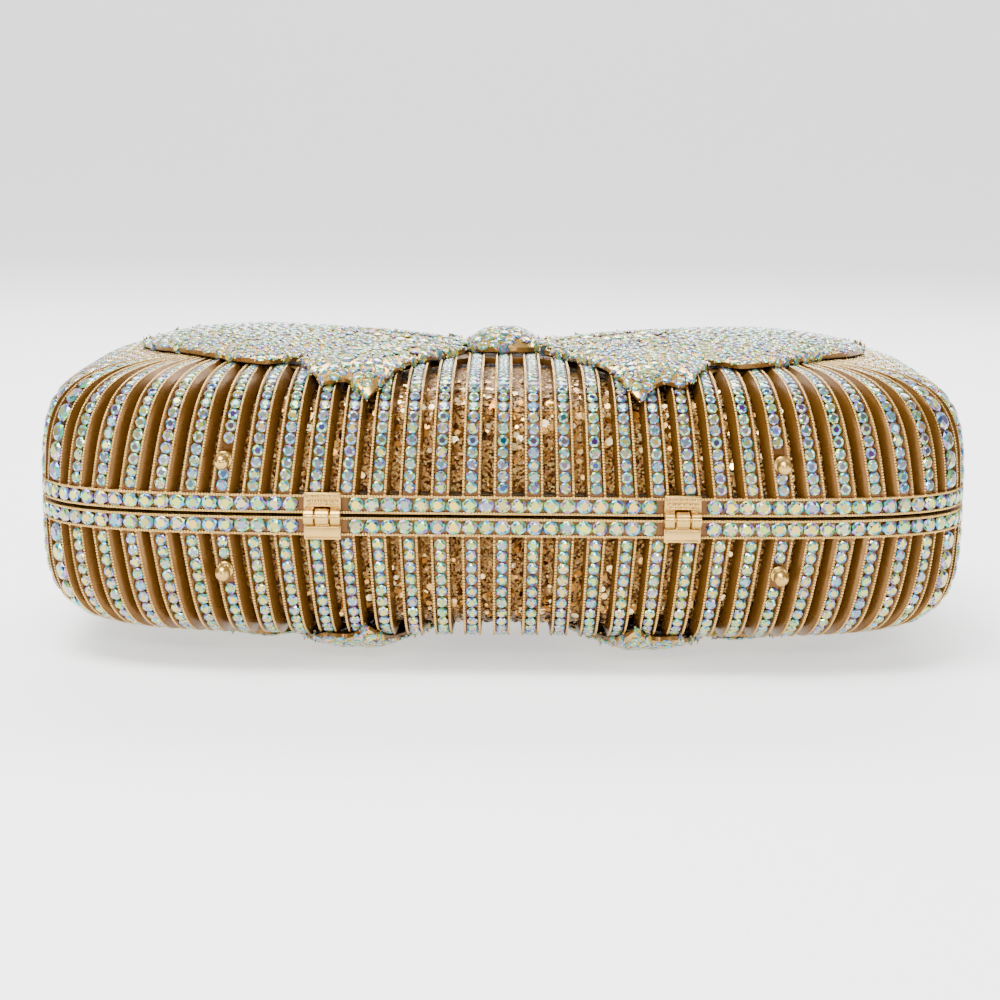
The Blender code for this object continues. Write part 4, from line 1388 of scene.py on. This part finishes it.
@dataclass
class Bow:
    """A bow on one face: five swelling plates paved with stones held by grains."""

    form: CaseForm
    half: Half
    shop: Workshop
    plates: list[BowPlate]
    solder: float = 0.5 * MM
    rings: int = 22
    edge_shade: float = 0.8
    stone: float = 2.6 * MM
    pitch: float = 2.5 * MM
    stone_height: float = 0.75 * MM
    seed: int = 31

    def _surface(self, plate: BowPlate, reach: Array, share: int) -> Array:
        """Rings of the plate's upper side at shares of the way out from its heart."""
        heart = np.array(plate.heart)
        ways = plate.outline - heart
        plan = heart + ways[None] * reach[:, None, None]
        turn = np.broadcast_to(np.arctan2(ways[:, 1], ways[:, 0]), plan.shape[:2])
        lift = self.solder + plate.lift(np.broadcast_to(reach[:, None], plan.shape[:2]), turn)
        points = self.form.lifted(plan.reshape(-1, 2), lift.reshape(-1))
        crest = self.form.half_depth + self.form.bow_stand - self.stone_height
        points[:, 2] = np.minimum(points[:, 2], crest)
        return points.reshape(len(reach), share, 3)

    def plate_rings(self, plate: BowPlate) -> tuple[Array, Array]:
        """The upper side's rings, and the foot ring against the case."""
        reach = 1 - np.linspace(0, 1, self.rings) ** 1.6
        reach = np.clip(reach[::-1], 0.02, 1.0)
        share = len(plate.outline)
        upper = self._surface(plate, reach, share)
        foot = self.form.lifted(plate.outline, np.full(share, self.solder))
        return upper, foot

    def build_plate(self, plate: BowPlate) -> Spots:
        """Makes a plate and returns the spots of its stones."""
        upper, foot = self.plate_rings(plate)
        draft = MeshDraft()
        underside = foot + (foot.mean(axis=0) - foot) * 0.3
        rings = self.form.placed(np.concatenate([upper, foot[None], underside[None]]), self.half)
        draft.loft(rings)
        # painted shade on the plate's outer edge, its foot ring and its underside
        draft.recess[-1][-3 * rings.shape[1]:] = self.edge_shade
        name = f"{self.half.label}_{plate.name}"
        hand_over(draft.build(f"{name}_plate", GOLD, 50), self.half.body, "gold_plate", name)
        return self._pave(upper, foot, name)

    def _pave(self, upper: Array, foot: Array, name: str) -> Spots:
        """Evenly spread spots over a plate's upper side and the top of its edge."""
        draft = MeshDraft()
        brink = foot + (upper[-1] - foot) * 0.45
        draft.loft(self.form.placed(np.concatenate([upper, brink[None]]), self.half))
        mesh = bpy.data.meshes.new(name + "_ground")
        faces = draft.faces[:1] + draft.faces[2:]
        mesh.from_pydata(np.concatenate(draft.points).tolist(), [], faces)
        bm = bmesh.new()
        bm.from_mesh(mesh)
        bmesh.ops.recalc_face_normals(bm, faces=bm.faces)
        top = max(bm.faces, key=lambda f: self.half.value * f.calc_center_median().z)
        if top.normal.z * self.half.value < 0:
            bmesh.ops.reverse_faces(bm, faces=bm.faces)
        bm.to_mesh(mesh)
        bm.free()
        grown = self.shop.spreader.grow(name + "_even", mesh, pitch=self.pitch, seed=self.seed)
        count = len(grown.vertices)
        place, up = np.empty(count * 3, np.float32), np.empty(count * 3, np.float32)
        grown.vertices.foreach_get("co", place)
        grown.attributes["up"].data.foreach_get("vector", up)
        draw = np.random.default_rng(self.seed + count)
        up = up.reshape(-1, 3).astype(float)
        along = np.cross(up, draw.random((count, 3)) - 0.5)
        size = self.stone * (0.94 + 0.08 * draw.random(count))
        deep = np.clip(draw.random(count) * 0.9 - 0.25, 0, 1)
        return Spots(place.reshape(-1, 3).astype(float), up, along, size, draw.random(count), deep)

    def build(self) -> None:
        """Makes the plates, then all their stones and grains."""
        spots = Spots.join([self.build_plate(plate) for plate in self.plates])
        label, body = self.half.label, self.half.body
        stones = self.shop.set_shapes(f"{label}_bow_crystals", spots, self.shop.stone, CRYSTAL)
        hand_over(stones, body, "crystal_pave")
        claws = self.shop.set_shapes(f"{label}_bow_grains", spots, self.shop.claws, GOLD, smooth=True)
        hand_over(claws, body, "gold_plate")


@dataclass
class Foot:
    """A ball foot on a stem, with a small flange on the rib."""

    half: Half
    side: str
    ball: float = 1.6 * MM
    stem: float = 0.9 * MM
    flange: float = 1.8 * MM

    def build(self) -> None:
        """Makes the foot where the frame has it."""
        node = f"{self.half.label}_foot_{self.side}"
        low, high = box_corners(node)
        x, _, z = box_middle(node)
        centre = Vector((x, high[1], z))
        length = high[1] - low[1]
        profile = [(TIP, length), (0.6 * MM, length)]
        start, end = math.atan2(0.6, 1.6), math.pi - math.asin(self.stem / self.ball)
        for share in np.linspace(0, 1, 12)[1:]:
            turn = start + (end - start) * share
            profile.append((self.ball * math.sin(turn), length - self.ball + self.ball * math.cos(turn)))
        profile += [(self.stem, 1.0 * MM), (self.stem + 0.25 * MM, 0.8 * MM),
                    (self.flange - 0.25 * MM, 0.75 * MM), (self.flange, 0.5 * MM),
                    (self.flange, 0.0), (TIP, 0.0)]
        draft = MeshDraft()
        draft.turned(profile, centre, Vector((0, -1, 0)))
        hand_over(draft.build(f"{node}_turned", GOLD, 50), self.half.body, "gold_plate", node)


@dataclass
class Hinge:
    """A three-knuckle hinge: plain leaf below, ornamented leaf above."""

    side: str
    knuckle: float = 1.7 * MM
    outer_length: float = 2.1 * MM
    middle_length: float = 2.8 * MM
    gap: float = 0.3 * MM
    bore: float = 0.75 * MM
    leaf_wall: float = 0.9 * MM
    leaf_reach: float = 4.9 * MM
    leaf_gap: float = 0.2 * MM
    border_half: float = 3.4 * MM
    border_in: float = 0.35 * MM
    pebble_rows: tuple[int, int] = (6, 5)
    pebble_row: float = 0.52 * MM
    pebble_pitch: float = 1.16 * MM
    pebble: tuple = ((0.60 * MM, 0.0), (0.54 * MM, 0.2 * MM), (0.32 * MM, 0.34 * MM), (TIP, 0.38 * MM))

    def _knuckle(self, draft: MeshDraft, middle: Vector, length: float) -> None:
        """Adds one knuckle tube with softened ends."""
        half, radius, soft = length / 2, self.knuckle, 0.15 * MM
        profile = [(self.bore, half), (radius - soft, half), (radius, half - soft),
                   (radius, soft - half), (radius - soft, -half), (self.bore, -half)]
        draft.turned(profile, middle, Vector((1, 0, 0)), 36)

    def build(self) -> None:
        """Makes both leaves, each with its knuckles."""
        joint = next(j for j in frame["joints"] if j["name"] == "lid_hinge")
        x = box_middle(f"hinge_{self.side}_back_leaf")[0]
        axis = Vector((x, joint["pos_m"][1], joint["pos_m"][2]))
        offset = (self.middle_length + self.outer_length) / 2 + self.gap
        for half, shifts, length in ((Half.BACK, (0.0,), self.middle_length),
                                     (Half.FRONT, (-offset, offset), self.outer_length)):
            node = f"hinge_{self.side}_{half.label}_leaf"
            low, high = box_corners(node)
            draft = MeshDraft()
            near = axis.z + half.value * (self.knuckle + self.leaf_gap)
            far = axis.z + half.value * self.leaf_reach
            plate_y = high[1] - self.leaf_wall
            draft.slab((low[0], plate_y, near), (high[0], high[1], far), 0.2 * MM)
            for shift in shifts:
                self._knuckle(draft, axis + Vector((shift, 0, 0)), length)
                draft.slab((x + shift - length / 2, plate_y + 0.05 * MM, axis.z + half.value * 0.2 * MM),
                           (x + shift + length / 2, high[1] - 0.05 * MM, near + half.value * 0.5 * MM),
                           0.05 * MM)
            self._ornament(draft, half, x, plate_y, near, far)
            hand_over(draft.build(f"{node}_worked", GOLD, 35), half.body, "gold_plate", node)

    def _ornament(
        self, draft: MeshDraft, half: Half, x: float, y: float, near: float, far: float
    ) -> None:
        """Adds a raised border to a leaf, and on the upper one two staggered rows of pebbles."""
        for end in (near + half.value * self.border_in, far - half.value * self.border_in):
            draft.slab((x - self.border_half, y - 0.25 * MM, end - 0.2 * MM),
                       (x + self.border_half, y + 0.1 * MM, end + 0.2 * MM), 0.1 * MM)
        if half is Half.BACK:
            return
        for count, shift in zip(self.pebble_rows, (-self.pebble_row, self.pebble_row)):
            for i in range(count):
                across = (i - (count - 1) / 2) * self.pebble_pitch
                spot = Vector((x + across, y + 0.02 * MM, (near + far) / 2 + shift))
                draft.turned(self.pebble, spot, Vector((0, -1, 0)), 12)


@dataclass
class Clasp:
    """The press latch: bracket, lever with a thumb stone, and strike."""

    shop: Workshop
    bore: float = 0.62 * MM
    ear: float = 1.3 * MM
    ear_length: float = 1.1 * MM
    arm_half: float = 1.25 * MM
    hub: float = 1.25 * MM
    hub_half: float = 1.3 * MM
    soft: float = 0.1 * MM
    bracket_wall: float = 0.7 * MM
    lever_wall: float = 0.8 * MM
    hook: float = 1.5 * MM
    strike_wall: float = 0.4 * MM
    in_from_ends: float = 1 * MM
    collet: float = 3.5 * MM
    collet_bead: float = 0.85 * MM
    collet_beads: int = 26

    def build(self) -> None:
        """Makes the four worked pieces where the frame has them."""
        self._bracket()
        self._lever()
        self._stone()
        self._strike()

    def _bracket(self) -> None:
        """The plate with two ears that carries the pin."""
        low, high = box_corners("clasp_bracket")
        pivot = box_middle("clasp_pin")
        draft = MeshDraft()
        draft.slab(low, (high[0], low[1] + self.bracket_wall, high[2]), 0.2 * MM)
        outer, inner = high[0], high[0] - self.ear_length
        profile = [(self.bore, outer), (self.ear - self.soft, outer), (self.ear, outer - self.soft),
                   (self.ear, inner), (self.bore, inner)]
        for hand in (-1, 1):
            draft.turned(profile, Vector((0, pivot[1], pivot[2])), Vector((hand, 0, 0)))
            draft.slab((hand * inner, low[1] + 0.3 * MM, pivot[2] - self.arm_half),
                       (hand * outer, pivot[1], pivot[2] + self.arm_half), self.soft)
        hand_over(draft.build("clasp_bracket_worked", GOLD, 35), "front_shell", "gold_plate", "clasp_bracket")

    def _lever(self) -> None:
        """The thumb plate, its hubs and its hook."""
        low, high = box_corners("clasp_lever")
        pivot = box_middle("clasp_pin")
        draft = MeshDraft()
        draft.slab((low[0], high[1] - self.lever_wall, low[2]), high, 0.35 * MM)
        hub, end = self.hub, self.hub_half
        profile = [(self.bore, end), (hub - self.soft, end), (hub, end - self.soft),
                   (hub, self.soft - end), (hub - self.soft, -end), (self.bore, -end)]
        for hand in (-1, 1):
            draft.turned(profile, Vector((hand * (high[0] - end), pivot[1], pivot[2])), Vector((1, 0, 0)))
        draft.slab((low[0] + self.in_from_ends, low[1], low[2] + 0.05 * MM),
                   (high[0] - self.in_from_ends, high[1] - 0.5 * MM, low[2] + self.hook), 0.2 * MM)
        hand_over(draft.build("clasp_lever_worked", GOLD, 35), "latch", "gold_plate", "clasp_lever")

    def _stone(self) -> None:
        """The thumb stone, one large cut stone in a beaded collet."""
        low, high = box_corners("clasp_stone")
        centre = box_middle("clasp_stone")
        centre[1] = low[1]
        spots = Spots(centre[None], np.array([[0.0, 1.0, 0.0]]), np.array([[1.0, 0.0, 0.0]]),
                      np.array([high[0] - low[0]]), np.array([0.3]), np.array([0.2]))
        hand_over(self.shop.set_shapes("clasp_thumb_crystal", spots, self.shop.stone, CRYSTAL), "latch",
                  "crystal_pave", "clasp_stone")
        count = self.collet_beads
        turns = np.linspace(0, 2 * math.pi, count, endpoint=False)
        ring = np.stack([np.cos(turns), np.zeros(count), np.sin(turns)], -1) * self.collet + centre
        beads = Spots(ring, np.tile([0.0, 1.0, 0.0], (count, 1)), np.tile([1.0, 0.0, 0.0], (count, 1)),
                      np.full(count, self.collet_bead), np.zeros(count), np.zeros(count))
        hand_over(self.shop.set_shapes("clasp_collet_beads", beads, self.shop.bead, GOLD, smooth=True),
                  "latch", "gold_plate")

    def _strike(self) -> None:
        """The plate on the back half with the ridge that the hook goes under."""
        low, high = box_corners("clasp_strike")
        draft = MeshDraft()
        draft.slab(low, (high[0], low[1] + self.strike_wall, high[2]), 0.12 * MM)
        draft.slab((low[0] + self.in_from_ends, low[1] + 0.1 * MM, high[2] - 1.4 * MM),
                   (high[0] - self.in_from_ends, high[1], high[2] - 0.3 * MM), 0.15 * MM)
        hand_over(draft.build("clasp_strike_worked", GOLD, 35), "back_shell", "gold_plate", "clasp_strike")


def dress_frame_nodes() -> None:
    """Gives every node that is carried over its finish."""
    finishes = {"gold_plate": GOLD, "crystal_pave": CRYSTAL, "gold_glitter": GLITTER,
                "champagne_lining": LINING, "spring_steel": STEEL}
    slots = {row["node"]: row["material_slot"] for row in frame["record"]["subparts"]}
    for name, node in frame["nodes"].items():
        node.data.materials.clear()
        node.data.materials.append(finishes[slots[name]].material())


# ========================================================================================
# Studio
# ========================================================================================
@dataclass
class Studio:
    """Floor, lights, world and camera."""

    form: CaseForm
    elevation: float = 9.8
    distance: float = 480 * MM
    lens: float = 84.0
    roll: float = 0.55
    shift: tuple[float, float] = (-0.0025, 0.0170)
    glow: float = 0.6
    surround: tuple = ((0.0, (0.2, 0.2, 0.2)), (0.55, (0.28, 0.28, 0.28)),
                       (0.8, (0.9, 0.9, 0.9)), (1.0, (1.0, 1.0, 1.0)))
    lights: tuple = (("key", (-0.25, -0.30, 0.95), (0.7, 0.5), 22),
                     ("fill_left", (-1.0, -0.65, 0.35), (0.25, 0.7), 6),
                     ("fill_right", (1.0, -0.65, 0.35), (0.25, 0.7), 6),
                     ("back", (0.1, 0.7, 0.7), (1.0, 0.3), 14),
                     ("front", (0.05, -1.15, 0.50), (0.6, 0.10), 7))

    def build(self) -> None:
        """Makes the whole set."""
        self._floor()
        self._world()
        for name, place, size, power in self.lights:
            self._light(name, place, size, power)
        self._camera()

    def _floor(self) -> None:
        """A large pale sheet under the bag that sweeps up behind it."""
        bend, front, back, top, half_width = 0.6, -3.0, 1.6, 3.5, 4.0
        turns = np.linspace(0, QUARTER, 13)
        section = [(front, 0.0)] + [(back + bend * math.sin(t), bend * (1 - math.cos(t))) for t in turns]
        section.append((back + bend, top))
        points = [(x, y, z) for y, z in section for x in (-half_width, half_width)]
        faces = [(2 * i, 2 * i + 1, 2 * i + 3, 2 * i + 2) for i in range(len(section) - 1)]
        mesh = bpy.data.meshes.new("floor")
        mesh.from_pydata(points, [], faces)
        floor = finished("floor", mesh, StudioPaper())
        floor.location.z = -0.02 * MM
        floor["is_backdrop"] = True

    def _world(self) -> None:
        """A pale surround, a little darker low down."""
        world = bpy.data.worlds.new("surround")
        world.use_nodes = True
        tree = NodeTree(world.node_tree)
        background = world.node_tree.nodes["Background"]
        way = tree.add("ShaderNodeTexCoord", output="Generated")
        height = tree.add("ShaderNodeSeparateXYZ", None, {"Vector": way}, "Z")
        tree.link_out(background, "Color", tree.ramp(height * 0.5 + 0.5, self.surround))
        background.inputs["Strength"].default_value = self.glow
        bpy.context.scene.world = world

    def _light(self, name: str, place: Sequence[float], size: Sequence[float], power: float) -> None:
        """A soft box aimed at the bag."""
        data = bpy.data.lights.new(name, "AREA")
        data.shape = "RECTANGLE"
        data.size, data.size_y = size
        data.energy = power
        light = bpy.data.objects.new(name, data)
        light.location = place
        aim = Vector((0, 0, self.form.parting)) - Vector(place)
        light.rotation_euler = aim.to_track_quat("-Z", "Y").to_euler()
        bpy.context.scene.collection.objects.link(light)

    def _camera(self) -> None:
        """The camera, level with the rim from the hinge side and a little above."""
        data = bpy.data.cameras.new("camera")
        data.lens = self.lens
        data.shift_x, data.shift_y = self.shift
        camera = bpy.data.objects.new("camera", data)
        tilt = math.radians(self.elevation)
        target = Vector((0, -self.form.half_width, self.form.parting))
        camera.location = target + self.distance * Vector((0, -math.cos(tilt), math.sin(tilt)))
        aim = Euler((QUARTER - tilt, 0, 0)).to_matrix() @ Matrix.Rotation(math.radians(self.roll), 3, "Z")
        camera.rotation_euler = aim.to_euler()
        bpy.context.scene.collection.objects.link(camera)
        bpy.context.scene.camera = camera


def main() -> None:
    """Builds the looks round the frame, piece by piece."""
    logging.basicConfig(level=logging.INFO, format="%(message)s")
    form = CaseForm.from_frame()
    dress_frame_nodes()
    shop = Workshop()
    plates = BowDesign().plates(form)
    for half in Half:
        CastHalf(form, half, shop, plates).build()
        NestedShells(form, half, shop).build()
        Bow(form, half, shop, plates).build()
        for side in ("left", "right"):
            Foot(half, side).build()
    for side in ("left", "right"):
        Hinge(side).build()
    Clasp(shop).build()
    shop.clear()
    Studio(form).build()


if __name__ == "__main__":
    main()
